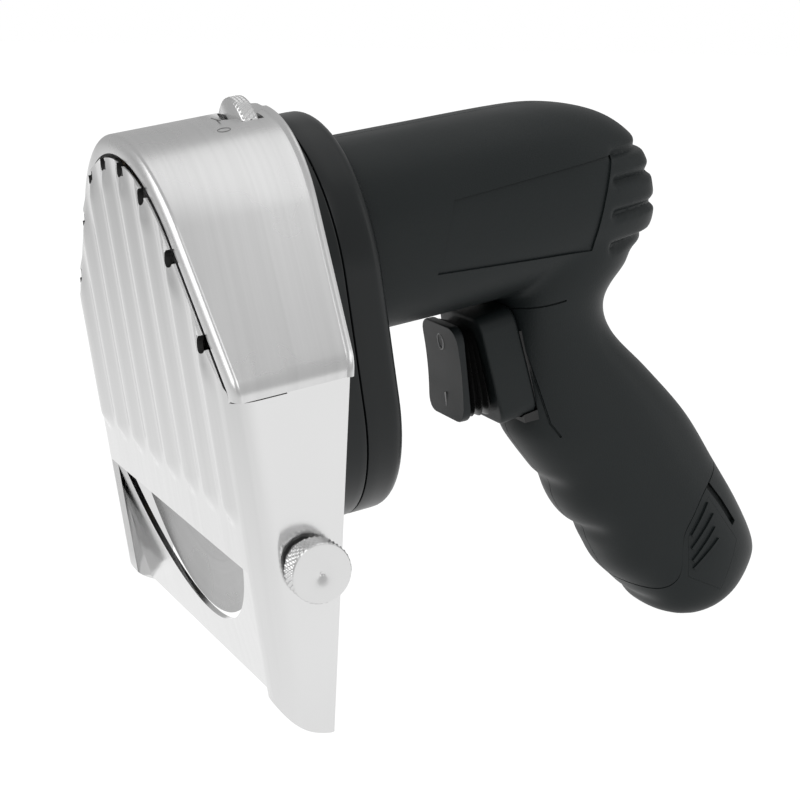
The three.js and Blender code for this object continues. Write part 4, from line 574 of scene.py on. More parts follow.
# %% Loft the outer form
FLOOR_UP = (24.8 + 0.2 * -67.7 - 0.8) * math.sin(TILT) - 67.7 * math.cos(TILT)
barrel_top = through((49, 51.5), (75, 51.2), (104, 50.6), (114, 49), (122, 46), (127, 42), (130, 37.5))
barrel_bottom = through((49, 4.6), (75, 4.8), (104, 5.6), (114, 7), (122, 9), (127, 11.5), (130, 14))
barrel_width = through((49, 1), (104, 1), (114, 0.97), (122, 0.91), (127, 0.82), (130, 0.68))
handle_back = through(
    (0, 152), (2, 157.5), (6, 163), (12, 167), (17, 168), (28, 162.5), (41, 153.5), (54, 144), (67, 130.5),
    (76, 120), (82, 115.8), (87, 115), (91, 117), (96, 121), (104, 122),
)
handle_front = through(
    (0, 137.5), (2, 134.5), (6, 131), (12, 125.5), (26, 113.8), (38, 104), (50, 94), (54, 92.6), (85, 87),
    (104, 83.5),
)
handle_width = through(
    (0, 12.5), (2, 15), (6, 16.8), (17, 17.6), (41, 17), (67, 17), (80, 18), (91, 20.5), (104, 22)
)


def barrel_skin(inset, count=96, steps=60):
    u, v = squared_ring(count, 2.6)
    rings = []
    for i, x in enumerate(np.linspace(49.2, 130, steps)):
        top, bottom = barrel_top(x) - inset, barrel_bottom(x) + inset
        half = 23.5 * barrel_width(x) - inset
        at = np.full(count, x - inset if i == steps - 1 else x)
        rings.append(np.stack([at, half * u, (top + bottom) / 2 + (top - bottom) / 2 * v], axis=1))
    return grid_skin("barrel", rings)


def handle_skin(inset, count=96, steps=90):
    u, v = squared_ring(count, 2.3)
    heights = 104 * np.linspace(0, 1, steps) ** 1.5
    rings = []
    for i, height in enumerate(heights):
        front, back = handle_front(height) + 1.2 * inset, handle_back(height) - 1.2 * inset
        along = (front + back) / 2 + (back - front) / 2 * u
        lift = (height + inset if i == 0 else height) + FLOOR_UP
        x = along * math.cos(TILT) + lift * math.sin(TILT)
        z = lift * math.cos(TILT) - along * math.sin(TILT)
        rings.append(np.stack([x, (handle_width(height) - inset) * v, z], axis=1))
    return grid_skin("handle", rings)


def grip_form(inset):
    form = barrel_skin(inset)
    combine(form, handle_skin(inset), "UNION")
    return form


VOXEL = 0.7
body_form = grip_form(0.0)
body_form.name = "body_form"
apply(body_form, "REMESH", mode="VOXEL", voxel_size=VOXEL * MM)
apply(body_form, "SMOOTH", factor=0.5, iterations=30)
print("body form", len(body_form.data.polygons), "faces")

# %% [markdown]
# ## Ribs at the rear and pads for the fingers
#
# The back of the barrel has soft ribs, and the front of the handle swells between shallow finger notches.
# Such rounded changes are best pushed in and out of the skin: a vertex group says how much each point moves,
# and a Displace modifier moves it along its normal.

# %% Push the ribs and pads
def points_of(piece):
    co = np.empty(len(piece.data.vertices) * 3)
    piece.data.vertices.foreach_get("co", co)
    normal = np.empty_like(co)
    piece.data.vertices.foreach_get("normal", normal)
    return co.reshape(-1, 3) / MM, normal.reshape(-1, 3)


def push(piece, name, weights, height):
    group = piece.vertex_groups.new(name=name)
    for index in np.flatnonzero(weights > 0.01):
        group.add([int(index)], float(weights[index]), "REPLACE")
    apply(piece, "DISPLACE", strength=height * MM, mid_level=0, direction="NORMAL", vertex_group=name)
    piece.vertex_groups.remove(piece.vertex_groups[name])


def ramp(value, low, high):
    t = np.clip((value - low) / (high - low), 0, 1)
    return t * t * (3 - 2 * t)


def bell(distance, width):
    return np.exp(-((distance / width) ** 2))


co, normal = points_of(body_form)
inner_end = 113.5 + 0.12 * (co[:, 2] - 15)
rear = ramp(co[:, 0] - inner_end, -0.7, 0.7) * ramp(normal[:, 0] + 0.6 * np.abs(normal[:, 1]), 0.05, 0.4)
ribs = sum(bell(co[:, 2] - z, 1.0) for z in (37.6, 31.1, 23.1, 14.8))
push(body_form, "rear_ribs", rear * np.clip(ribs, 0, 1), -1.6)

co, normal = points_of(body_form)
toward = ramp(-(normal[:, 0] * 0.88 + normal[:, 2] * 0.47), 0.1, 0.75)
NOTCHES = ((97.8, -48.2), (106.8, -62.9), (119.5, -86))
PADS = ((102.5, -55.8), (112.8, -74))
notches = sum(bell(np.hypot(co[:, 0] - x, co[:, 2] - z), 2.6) for x, z in NOTCHES)
pads = sum(bell(np.hypot(co[:, 0] - x, co[:, 2] - z), 6.5) for x, z in PADS)
push(body_form, "finger_pads", toward * np.clip(pads, 0, 1), 1.1)
push(body_form, "finger_notches", toward * np.clip(notches, 0, 1), -1.2)
apply(body_form, "SMOOTH", factor=0.5, iterations=3)
print("body form size", [round(v / MM, 1) for v in body_form.dimensions])

# %% [markdown]
# ## Fine lines, halves, battery cap and latches
#
# The label recess and the thin lines are cut in by a prism from which a slightly smaller copy of the body has
# been taken away, so that the cut follows the skin at an even depth. The same form then gives the hollow
# shells, the battery cap and the two latches, so their surfaces run on across the joints.

# %% Cut the body into its pieces
def strip(name, line, width):
    line = np.array(line, dtype=float)
    run = np.gradient(line, axis=0)
    side = np.stack([-run[:, 1], run[:, 0]], axis=1) / np.linalg.norm(run, axis=1)[:, None] * width / 2
    return block(name, [tuple(p) for p in np.concatenate([line - side, (line + side)[::-1]])], -60, 60, "Y")


def engrave(piece, cutter, depth):
    floor_form = copy_of(body_form, "floor_form")
    apply(floor_form, "DISPLACE", strength=-depth * MM, mid_level=0, direction="NORMAL")
    combine(cutter, floor_form, "DIFFERENCE")
    combine(piece, cutter, "DIFFERENCE")


FAR = 200.0
CAP_LINE = np.array([
    (104, -72.4), (113, -77.6), (119.5, -80.1), (123.5, -79.6), (126.3, -76.5), (128, -66.5), (130.5, -62.7),
    (137.6, -55.5), (152, -49),
])


def flowing(points, count=64):
    run = np.insert(np.cumsum(np.linalg.norm(np.diff(points, axis=0), axis=1)), 0, 0)
    at = np.linspace(0, run[-1], count)
    x, z = (through(*zip(run, column))(at) for column in points.T)
    return list(zip(x, z))


def cap_region(grow):
    line = [(x, z + grow) for x, z in flowing(CAP_LINE)]
    return block("cap_region", line + [(FAR, line[-1][1]), (FAR, -FAR), (line[0][0], -FAR)], -60, 60, "Y")


def raked(piece):
    pick(piece)
    piece.rotation_euler = (0, -math.radians(28), 0)
    bpy.ops.object.transform_apply(rotation=True)


def rod(name, radius, low, high, axis, u, v, sides=32):
    angle = np.linspace(0, 2 * np.pi, sides, endpoint=False)
    return block(name, list(zip(u + radius * np.cos(angle), v + radius * np.sin(angle))), low, high, axis)


WELL_X = 83.6
WELL_HALF_X = 10.2
WELL_HALF_Y = 8.5
WELL_LOW_Z = -132.2
WELL_HIGH_Z = -49
CELL_ROOM = 7.2


def well(grow):
    front, back = WELL_X - WELL_HALF_X - grow, WELL_X + WELL_HALF_X + grow
    low = WELL_LOW_Z - grow
    outline = [(front, low), (back, low), (back, WELL_HIGH_Z), (front, WELL_HIGH_Z)]
    room = block("well", outline, -WELL_HALF_Y - grow, WELL_HALF_Y + grow, "Y")
    for side in (-1, 1):
        bpy.ops.object.select_all(action="DESELECT")
        bpy.ops.mesh.primitive_cylinder_add(
            vertices=48, radius=(CELL_ROOM + grow) * MM, depth=(WELL_HIGH_Z - low) * MM,
            location=((WELL_X + side * CELL_ROOM) * MM, 0, (WELL_HIGH_Z + low) / 2 * MM),
        )
        bore = bpy.context.object
        bpy.ops.object.transform_apply(location=True)
        combine(room, bore, "UNION")
    raked(room)
    return room


LATCH = np.array([(128.4, -77.5), (129.2, -66.6), (131.2, -64), (137.4, -57.9), (145, -72), (138, -84)])


def latch_region(grow, inner, side):
    middle = LATCH.mean(axis=0)
    reach = np.linalg.norm(LATCH - middle, axis=1)[:, None]
    outline = [tuple(p) for p in middle + (LATCH - middle) * (reach + grow) / reach]
    low, high = (inner, 60) if side > 0 else (-60, -inner)
    return block("latch_region", outline, low, high, "Y")


def lean_room(half_y, half_z, corner, front, back):
    outline = []
    for cy, cz, start in ((1, 1, 0), (-1, 1, 90), (-1, -1, 180), (1, -1, 270)):
        middle_y, middle_z = cy * (half_y - corner), cz * (half_z - corner)
        for a in np.radians(np.linspace(start, start + 90, 7)):
            outline.append((middle_y + corner * np.cos(a), middle_z + corner * np.sin(a)))
    return block("lean_room", outline, front, back, "X")


def leaning(piece, degrees, x, z):
    pick(piece)
    piece.rotation_euler = (0, math.radians(degrees), 0)
    piece.location = (x * MM, 0, z * MM)
    bpy.ops.object.transform_apply(location=True, rotation=True)
    return piece


LABEL = [(66, 18.7), (107.9, 15.4), (116.2, 37.6), (72.4, 35.4)]
LABEL_DEPTH = 0.5
GRIP_LINE = [(100.6, 4.2), (95, 3.3), (89.5, 2.5), (92.6, -12), (95.7, -28), (97.9, -32)]
GRIP_LINE_WIDTH = 0.5
GRIP_LINE_DEPTH = 0.45
SHELL_WALL = 2.2
FIT_GAP = 0.3
SHELL_SCREWS = ((112, 38), (118, 15), (110.5, -5), (97.6, -31), (118, -19))
BEZEL_LEAN = -7.1
BEZEL_X = 81.6
BEZEL_Z = -11.9
BEZEL_HALF_Y = 12
BEZEL_HALF_Z = 14.3
BEZEL_DEPTH = 10
SWITCH_CORNER = 4
shells = copy_of(body_form, "shells")
engrave(shells, block("label", LABEL, -60, 60, "Y"), LABEL_DEPTH)
engrave(shells, strip("grip_line", GRIP_LINE, GRIP_LINE_WIDTH), GRIP_LINE_DEPTH)
combine(shells, grip_form(SHELL_WALL), "DIFFERENCE")
combine(shells, cap_region(FIT_GAP), "DIFFERENCE")
combine(shells, well(FIT_GAP), "DIFFERENCE")
combine(shells, block("front_cut", [(-60, -60), (60, -60), (60, 90), (-60, 90)], 0, 49, "X"), "DIFFERENCE")
combine(shells, rod("spigot_room", 20.9, 0, 54.5, "X", 0, 28), "DIFFERENCE")
bezel_room = lean_room(
    BEZEL_HALF_Y + FIT_GAP, BEZEL_HALF_Z + FIT_GAP, SWITCH_CORNER, -12, BEZEL_DEPTH + FIT_GAP
)
combine(shells, leaning(bezel_room, BEZEL_LEAN, BEZEL_X, BEZEL_Z), "DIFFERENCE")
for x, z in SHELL_SCREWS:
    combine(shells, rod("screw_hole", 3.1, 9, 60, "Y", x, z), "DIFFERENCE")
left_half = copy_of(shells, "left_half")
side_box = [(0, -FAR), (FAR, -FAR), (FAR, FAR), (0, FAR)]
combine(left_half, block("right_side", side_box, -60, 0.12, "Y"), "DIFFERENCE")
combine(shells, block("left_side", side_box, -0.12, 60, "Y"), "DIFFERENCE")
shells.name = "right_half"
for half, node in ((shells, "right_shell"), (left_half, "left_shell")):
    smooth(half, 32)
    dress(half, "body", "shell_black", node)
print("halves", len(shells.data.polygons), len(left_half.data.polygons))

# %% [markdown]
# ## Battery cap and latches
#
# The foot of the handle is the battery's own cap. A ribbed tongue on each side presses in to free it, with a
# dark slot behind the tongue. The tongue's ribs are four small bars that stand a little proud of the skin.

# %% Battery cap and latches
battery_foot = copy_of(body_form, "battery_foot")
combine(battery_foot, cap_region(0.0), "INTERSECT")
combine(battery_foot, well(FIT_GAP), "DIFFERENCE")
for side, word in ((-1, "right"), (1, "left")):
    combine(battery_foot, latch_region(0.04, 10.7, side), "DIFFERENCE")
    slot_line = strip("slot", [(137.8, -54.6), (141.7, -60.9), (145.1, -67.8)], 1.7)
    inner_stop = block("inner_stop", side_box, -60 if side > 0 else -12.5, 12.5 if side > 0 else 60, "Y")
    combine(slot_line, inner_stop, "DIFFERENCE")
    combine(battery_foot, slot_line, "DIFFERENCE")
smooth(battery_foot, 32)
dress(battery_foot, "battery", "shell_black", "battery_cap")

GRIP_BARS = [
    [(130.4, -66.5), (137, -59.4)], [(130, -70.1), (138.2, -62.8)], [(130, -73.5), (138.1, -66.4)],
    [(130, -75.7), (138.7, -69.7)],
]
for side, word in ((-1, "right"), (1, "left")):
    tongue = copy_of(body_form, f"latch_tongue_{word}")
    combine(tongue, latch_region(-0.03, 13.2, side), "INTERSECT")
    for ends in GRIP_BARS:
        bar = strip("grip_bar", ends, 0.9)
        reach = copy_of(body_form, "reach")
        apply(reach, "DISPLACE", strength=0.55 * MM, mid_level=0, direction="NORMAL")
        combine(bar, reach, "INTERSECT")
        inward = block("inward", side_box, -60 if side > 0 else -14.5, 14.5 if side > 0 else 60, "Y")
        combine(bar, inward, "DIFFERENCE")
        combine(tongue, bar, "UNION")
    smooth(tongue, 32)
    dress(tongue, f"latch_{word}", "shell_black", f"battery_latch_{word}")
bpy.data.objects.remove(body_form, do_unlink=True)
print("battery foot", len(battery_foot.data.polygons), "faces")

# %% [markdown]
# ## Gearbox
#
# Two glossy castings close the gears in. Their outline is two half circles joined by straight sides. Each is
# lofted from insets of that outline, so that the rear edge is rounded as on a casting, and the joint between
# them stays a thin dark line.

# %% Gearbox halves
HEAD_REAR_X = 24.8
HEAD_SLOPE = 0.2
GEARBOX_RADIUS = 33.5
GEARBOX_LOW_Z = -5.5
GEARBOX_HIGH_Z = 25.7
COVER_GAP = 0.3
COVER_REAR_X = 38.65
CUP_FRONT_X = 38.95
CUP_REAR_X = 48.7
CUP_EDGE = 3.2
FACE_INSET = 9


def head_rear(z):
    return HEAD_REAR_X + HEAD_SLOPE * z


def stadium(radius, low, high, count=96):
    top = np.linspace(0, np.pi, count // 2)
    y = np.concatenate([radius * np.cos(top), -radius * np.cos(top)])
    z = np.concatenate([high + radius * np.sin(top), low - radius * np.sin(top)])
    return y, z


def stadium_ring(inset, x):
    y, z = stadium(GEARBOX_RADIUS - inset, GEARBOX_LOW_Z, GEARBOX_HIGH_Z)
    at = x(z) if callable(x) else np.full_like(y, x)
    return np.stack([at, y, z], axis=1)


def cover_front(z):
    return head_rear(z) + COVER_GAP


cover_rings = [stadium_ring(inset, cover_front) for inset in (FACE_INSET, 1.0, 0.6)]
for inset, rise in ((0.25, 0.12), (0.05, 0.4)):
    cover_rings.append(stadium_ring(inset, lambda z: cover_front(z) + rise))
for t in (0.1, 0.5, 0.9):
    cover_rings.append(stadium_ring(0, lambda z: cover_front(z) + (COVER_REAR_X - cover_front(z)) * t))
for inset, back in ((0, 0.35), (0.1, 0.1), (0.35, 0), (FACE_INSET, 0)):
    cover_rings.append(stadium_ring(inset, COVER_REAR_X - back))
cover = grid_skin("gearbox_front", cover_rings)
nose = rod("nose", 14, 13.5, 30, "X", 0, BLADE_AXIS_Z, 64)
combine(cover, nose, "UNION")
combine(cover, rod("seal_bore", 9.3, 0, 17, "X", 0, BLADE_AXIS_Z, 64), "DIFFERENCE")
combine(cover, rod("spindle_bore", 2.8, 0, 38.4, "X", 0, 54.6), "DIFFERENCE")
smooth(cover, 40)
dress(cover, "body", "gearbox_black", "gearbox_cover")

cup_rings = []
for inset, back in ((FACE_INSET, 0), (0.35, 0), (0.1, 0.1), (0, 0.35), (0, 3.05), (0, 6.05)):
    cup_rings.append(stadium_ring(inset, CUP_FRONT_X + back))
for a in np.linspace(0, np.pi / 2, 9)[1:]:
    cup_rings.append(stadium_ring(CUP_EDGE * (1 - np.cos(a)), CUP_REAR_X - CUP_EDGE * (1 - np.sin(a))))
cup_rings += [stadium_ring(FACE_INSET, CUP_REAR_X)]
cup = grid_skin("gearbox_rear", cup_rings)
smooth(cup, 40)
dress(cup, "body", "gearbox_black", "gearbox_cup")
print("gearbox", len(cover.data.polygons) + len(cup.data.polygons), "faces")

# %% [markdown]
# ## The band over the blade
#
# The band is a strip of sheet metal bent over the blade: upright ends, slanted sides and a round top. Its
# section has a rounded shoulder at the front and a small bead at the rear. The section is swept along the
# outline as one closed skin, and the rear wall, the brackets and the wheel's scoop are joined to it.

# %% Outline of the band
BAND_HALF_WIDTH = 60.2
BAND_TOP_RADIUS = 46.0
BAND_TOP_CENTRE_Z = 16.0
BAND_SLANT = math.radians(38.9)
BAND_CORNER_RADIUS = 6.5
BAND_SKIRT = 0.95
BAND_FRONT_X = 0.3
BAND_WALL = 1.3
SHOULDER_DEPTH = 1.7
SHOULDER_INSET = 4.2
WHEEL_Z = 54.6
KNOB_X = 11.5
KNOB_Z = -27.7


def band_path():
    corner_y = BAND_HALF_WIDTH - BAND_CORNER_RADIUS
    reach = BAND_TOP_RADIUS - BAND_CORNER_RADIUS - math.cos(BAND_SLANT) * corner_y
    corner_z = BAND_TOP_CENTRE_Z + reach / math.sin(BAND_SLANT)
    turn = np.linspace(0, BAND_SLANT, 12)
    round_y, round_z = BAND_CORNER_RADIUS * np.cos(turn), BAND_CORNER_RADIUS * np.sin(turn)
    corner = np.stack([corner_y + round_y, corner_z + round_z, turn], axis=1)
    over = np.linspace(BAND_SLANT, np.pi / 2, 40)
    top = np.stack(
        [BAND_TOP_RADIUS * np.cos(over), BAND_TOP_CENTRE_Z + BAND_TOP_RADIUS * np.sin(over), over], axis=1
    )
    along = np.linspace(0, 1, 16)[1:-1, None]
    side = corner[-1] + (top[0] - corner[-1]) * along
    start = np.array([[BAND_HALF_WIDTH, corner_z - BAND_SKIRT, 0.0]])
    y, z, angle = np.concatenate([start, corner, side, top]).T
    mirror = lambda right, left: np.concatenate([right, left[-2::-1]])
    inward_y = mirror(np.cos(angle), -np.cos(angle))
    return mirror(-y, y), mirror(z, z), inward_y, -mirror(np.sin(angle), np.sin(angle))


def inset_path(inset):
    y, z, inward_y, inward_z = band_path()
    return y + inward_y * inset, z + inward_z * inset


print("band outline", len(band_path()[0]), "points")

# %% Sweep the band and join its wall, brackets and scoop
def band_section():
    turn = np.linspace(0, np.pi / 2, 14)
    middle = BAND_FRONT_X + SHOULDER_DEPTH

    def shoulder(wall):
        depth, inset = SHOULDER_DEPTH - wall, SHOULDER_INSET - wall
        return [(middle - depth * np.cos(a), None, SHOULDER_INSET - inset * np.sin(a)) for a in turn]

    bead = ((1.5, 0.0), (1.25, -0.3), (0.85, -0.62), (0.4, -0.7), (0.12, -0.6), (0.0, -0.3), (0.0, BAND_WALL))
    return shoulder(0) + [(None, rear, inset) for rear, inset in bead] + shoulder(BAND_WALL)[::-1]


def lean_back(piece):
    for vertex in piece.data.vertices:
        vertex.co.x += MM * head_rear(vertex.co.z / MM)
    return piece


def ball(radius, x, z):
    bpy.ops.object.select_all(action="DESELECT")
    place = (x * MM, 0, z * MM)
    bpy.ops.mesh.primitive_uv_sphere_add(segments=64, ring_count=32, radius=radius * MM, location=place)
    bpy.ops.object.transform_apply(location=True)
    return bpy.context.object


columns = []
for x, rear, inset in band_section():
    y, z = inset_path(inset)
    columns.append(np.stack([np.full_like(y, x) if rear is None else head_rear(z) - rear, y, z], axis=1))
band = grid_skin("band", np.stack(columns, axis=1))

CHEEK_OUTER_Y = 58.4
SHEET = 1.4
BRACKET_OUTER_Y = CHEEK_OUTER_Y - SHEET - 0.5
y, z = inset_path(BAND_WALL / 2)
upper = [(a, b) for a, b in zip(y, z) if b > 14.4]
side_y = BRACKET_OUTER_Y
wall_ends = [(side_y, 14.4), (side_y, -32), (-side_y, -32), (-side_y, 14.4)]
combine(band, lean_back(block("rear_wall", upper + wall_ends, -1.4, 0, "X")), "UNION")
bracket = [(7.5, -34), (head_rear(-34), -34), (head_rear(11), 11), (head_rear(11) - 8, 11), (7.5, -21.7)]
for low in (-BRACKET_OUTER_Y, BRACKET_OUTER_Y - 2.6):
    combine(band, block("bracket", bracket, low, low + 2.6, "Y"), "UNION")
y, z = inset_path(0)
SCOOP = (29, 74)
SCOOP_RADIUS = 14.4
DISH_RADIUS = 16.3
dish = ball(DISH_RADIUS, *SCOOP)
combine(dish, block("under_band", list(zip(y, z)), BAND_FRONT_X, head_rear(WHEEL_Z), "X"), "INTERSECT")
combine(band, dish, "UNION")
combine(band, ball(SCOOP_RADIUS, *SCOOP), "DIFFERENCE")
combine(band, rod("wheel_slot", 11.8, 28.2, 33.8, "X", 0, WHEEL_Z, 96), "DIFFERENCE")
combine(band, rod("collar_hole", 4.8, 10.6, 38.8, "X", 0, WHEEL_Z), "DIFFERENCE")
combine(band, rod("nose_hole", 14.3, 0, 38.8, "X", 0, BLADE_AXIS_Z, 64), "DIFFERENCE")
for y in (-24, 24):
    for z in (40, -22):
        combine(band, rod("screw_hole", 2.3, 0, 38.8, "X", y, z), "DIFFERENCE")
combine(band, rod("lock_hole", 2.3, -80, 80, "Y", KNOB_X, KNOB_Z), "DIFFERENCE")
smooth(band, 30)
dress(band, "body", "band_steel", "blade_housing")
print("band", len(band.data.polygons), "faces")

# %% [markdown]
# ## The ribbed guide
#
# The guide is one sheet, folded into a front plate and two cheeks, with a lip under the blade. Seen from
# above it is a long U, so it is lofted upwards from that U. Near a rib's line the front of the U bulges
# forward, with soft edges and a round lower end, as in a pressed sheet, and the rib sinks towards the upper
# edge. The walls of the notches at the ribs' upper ends get a second, near-black finish: painted shade, so
# that the notches read as dark holes.

# %% Folded sheet with ribs
PLATE_FRONT_X = -0.4
PLATE_GAP = 0.8
CHORD_Z = -28.6
CHEEK_CORNER = 6.5
FOLD_Y = CHEEK_OUTER_Y - CHEEK_CORNER
CHEEK_STEP_Z = 10.6
RIB_LINES = 13.4 * (np.arange(8) - 3.5)
RIB_END_Z = -19.5
RIB_REACH = 5.6
RIB_HEIGHT = 1.6
RIB_FADE = 7
NOTCH = 1.9
TIP_Z = -67.7
SWEEP_Z = -54
LIP_TOP = (0.6, -27.6)
LIP_LOW = (5.6, -65)
OPENING_RADIUS = 51.4
CHEEK_TOP_Z = 13.4
CHEEK_STEP_X = 12.5
TIP_FRONT_X = head_rear(TIP_Z) - 0.8
y, z = inset_path(SHOULDER_INSET + PLATE_GAP)
edge = [(a, b) for a, b in zip(y, z) if b > CHEEK_STEP_Z]
edge_y, edge_z = np.array(edge).T


def rib_height(y, z):
    across = np.abs(y[:, None] - RIB_LINES).min(axis=1)
    below = max(RIB_END_Z + RIB_REACH - z, 0)
    fade = 0.35 + 0.65 * ramp(np.interp(y, edge_y, edge_z) - z, 0, RIB_FADE)
    return fade * RIB_HEIGHT * np.cos(np.pi / 2 * np.clip(np.hypot(across, below) / RIB_REACH, 0, 1)) ** 2


def sheet_line(radius):
    flat = np.linspace(-FOLD_Y, FOLD_Y, 240)
    turn = np.linspace(0, np.pi / 2, 16)[1:]
    fold_x = PLATE_FRONT_X + CHEEK_CORNER - radius * np.cos(turn)
    fold_y = FOLD_Y + radius * np.sin(turn)
    flat_x = np.full_like(flat, PLATE_FRONT_X + CHEEK_CORNER - radius)
    x = np.concatenate([[60], fold_x[::-1], flat_x, fold_x, [60]])
    y = np.concatenate([[-FOLD_Y - radius], -fold_y[::-1], flat, fold_y, [FOLD_Y + radius]])
    return x, y


def sheet_ring(z):
    rows = []
    for radius in (CHEEK_CORNER, CHEEK_CORNER - SHEET):
        x, y = sheet_line(radius)
        rows.append(np.stack([x - rib_height(y, z), y, np.full_like(y, z)], axis=1))
    return np.concatenate([rows[0], rows[1][::-1]])


def bezier(start, near, far, end, steps=28):
    t = np.linspace(0, 1, steps)[:, None]
    p = [np.array(q, dtype=float) for q in (start, near, far, end)]
    curve = (1 - t) ** 3 * p[0] + 3 * t * (1 - t) ** 2 * p[1] + 3 * t**2 * (1 - t) * p[2] + t**3 * p[3]
    return [tuple(q) for q in curve]


heights = np.concatenate([[TIP_Z - 1, -30], np.arange(-20, -12, 0.5), np.arange(-12, 60, 2)])
plate = grid_skin("guide", [sheet_ring(z) for z in heights])
print("sheet", len(plate.data.polygons), "faces")

# %% Trim the sheet and add the lip
profile = [(PLATE_FRONT_X - 4, CHEEK_STEP_Z), (PLATE_FRONT_X - 4, SWEEP_Z)]
profile += bezier((PLATE_FRONT_X - 1, SWEEP_Z), (-0.6, -59), (2, -66), (TIP_FRONT_X, TIP_Z))
profile += [(head_rear(TIP_Z), TIP_Z), (head_rear(CHEEK_TOP_Z), CHEEK_TOP_Z)]
profile += [(CHEEK_STEP_X, CHEEK_TOP_Z), (CHEEK_STEP_X, CHEEK_STEP_Z)]
allowed = block("cheek_profile", profile, -80, 80, "Y")
ends = [(edge[-1][0], CHEEK_STEP_Z - 1), (edge[0][0], CHEEK_STEP_Z - 1)]
combine(allowed, block("plate_top", edge + ends, -5, 5, "X"), "UNION")
combine(plate, allowed, "INTERSECT")
window = [(-FOLD_Y, -80), (FOLD_Y, -80), (FOLD_Y, CHORD_Z), (-FOLD_Y, CHORD_Z)]
combine(plate, block("window", window, -5, PLATE_FRONT_X + SHEET + 1, "X"), "DIFFERENCE")
lip_side = [LIP_TOP, LIP_LOW, (LIP_LOW[0] + SHEET, LIP_LOW[1]), (LIP_TOP[0] + SHEET, LIP_TOP[1])]
lip = block("lip", lip_side, -CHEEK_OUTER_Y, CHEEK_OUTER_Y, "Y")
x, y = sheet_line(CHEEK_CORNER - SHEET / 2)
inside = grid_skin("inside", [np.stack([x, y, np.full_like(x, z)], axis=1) for z in (TIP_Z - 1, 0)])
combine(lip, inside, "INTERSECT")
combine(lip, rod("opening", OPENING_RADIUS, -5, 60, "X", 0, BLADE_AXIS_Z, 192), "DIFFERENCE")
combine(plate, lip, "UNION")
slot = bezier((11.5, -25.4), (8.4, -25.4), (8.4, -30), (11.5, -30), 16)
slot += bezier((15.5, -30), (18.6, -30), (18.6, -25.4), (15.5, -25.4), 16)
combine(plate, block("lock_slot", slot, -80, 80, "Y"), "DIFFERENCE")
notch_z = np.interp(RIB_LINES, edge_y, edge_z) - NOTCH / 2
for line, z in zip(RIB_LINES, notch_z):
    combine(plate, rod("notch", NOTCH, -5, 9, "X", line, z, 40), "DIFFERENCE")
smooth(plate, 30)
_, y, z = np.array([face.center for face in plate.data.polygons]).T / MM
to_notch = np.hypot(y[:, None] - RIB_LINES, z[:, None] - notch_z).min(axis=1)
dress(plate, "guide", "guide_steel", "thickness_guide")
# Painted shade: the faces on the notch walls get the near-black inner_black finish, so each notch reads as a
# dark hole.
plate.data.materials.append(finish["inner_black"])
for face, distance in zip(plate.data.polygons, to_notch):
    face.material_index = int(distance < NOTCH + 0.05)
print("guide", len(plate.data.polygons), "faces")

# %% [markdown]
# ## Blade, wheel and knobs
#
# Turned pieces are lathed: a profile is carried round the axis in even steps. The knurls are two crossing
# waves on the radius, which make a pattern of small diamonds.

# %% Turned pieces
def lathe_x(name, profile, z, steps):
    angle = np.linspace(0, 2 * np.pi, steps + 1)
    rows = [[(x, r * math.sin(a), z + r * math.cos(a)) for x, r in profile] for a in angle]
    piece = grid_skin(name, rows, capped=False)
    edit(piece, turn_out)
    return piece


def knurl(angle, along, teeth, depth, lead):
    wave = np.cos(teeth * angle + lead * along) + np.cos(teeth * angle - lead * along)
    return depth * (0.25 * wave - 0.5)


BLADE_PROFILE = [(9.5, 4.2), (10.8, 4.2), (10.8, 14), (6.3, 47), (5.1, 50), (5.0, 50), (9.5, 14)]
blade_disc = lathe_x("blade_disc", BLADE_PROFILE, BLADE_AXIS_Z, 192)
smooth(blade_disc, 20)
dress(blade_disc, "blade_drive", "blade_steel", "blade")

KNURL_STEPS = 432
around = np.linspace(0, 2 * np.pi, KNURL_STEPS, endpoint=False)
rows = []
for x, radius, depth in [(29, 10.2, 0), (29.15, 10.45, 0)] + [
    (x, 10.98, 0.4) for x in np.linspace(29.5, 32.5, 17)
] + [(32.85, 10.45, 0), (33, 10.2, 0)]:
    reach = radius + knurl(around, x - 31, 54, depth, 3.6)
    ring = [np.full_like(around, x), reach * np.sin(around), WHEEL_Z + reach * np.cos(around)]
    rows.append(np.stack(ring, axis=1))
wheel = grid_skin("knurled_wheel", rows)
combine(wheel, rod("bore", 2.7, 20, 40, "X", 0, WHEEL_Z), "DIFFERENCE")
smooth(wheel, 35)
dress(wheel, "adjuster", "knurled_chrome", "thickness_wheel")

for side, word in ((-1, "right"), (1, "left")):
    rows = []
    stations = [(53.9, 2, 0), (59.6, 2, 0), (59.6, 3.6, 0), (60.5, 3.6, 0), (60.5, 6.3, 0), (60.75, 6.65, 0)]
    stations += [(y, 7.0, 0.45) for y in np.linspace(61.1, 65.3, 19)]
    stations += [(65.7, 6.8, 0), (65.95, 6.55, 0), (66, 6.2, 0)]
    stations += [(66, 0.8, 0), (65.85, 0.55, 0), (65.6, 0.15, 0)]
    for y, radius, depth in stations:
        reach = radius + knurl(around, y - 63.2, 36, depth, 3.2)
        ring_x, ring_z = KNOB_X + reach * np.cos(around), KNOB_Z + reach * np.sin(around)
        rows.append(np.stack([ring_x, np.full_like(around, side * y), ring_z], axis=1))
    knob = grid_skin(f"knob_{word}", rows)
    smooth(knob, 35)
    dress(knob, f"lock_{word}", "knurled_chrome", f"lock_knob_{word}")
print("blade, wheel and knobs", [len(made.data.polygons) for made in (blade_disc, wheel, knob)])
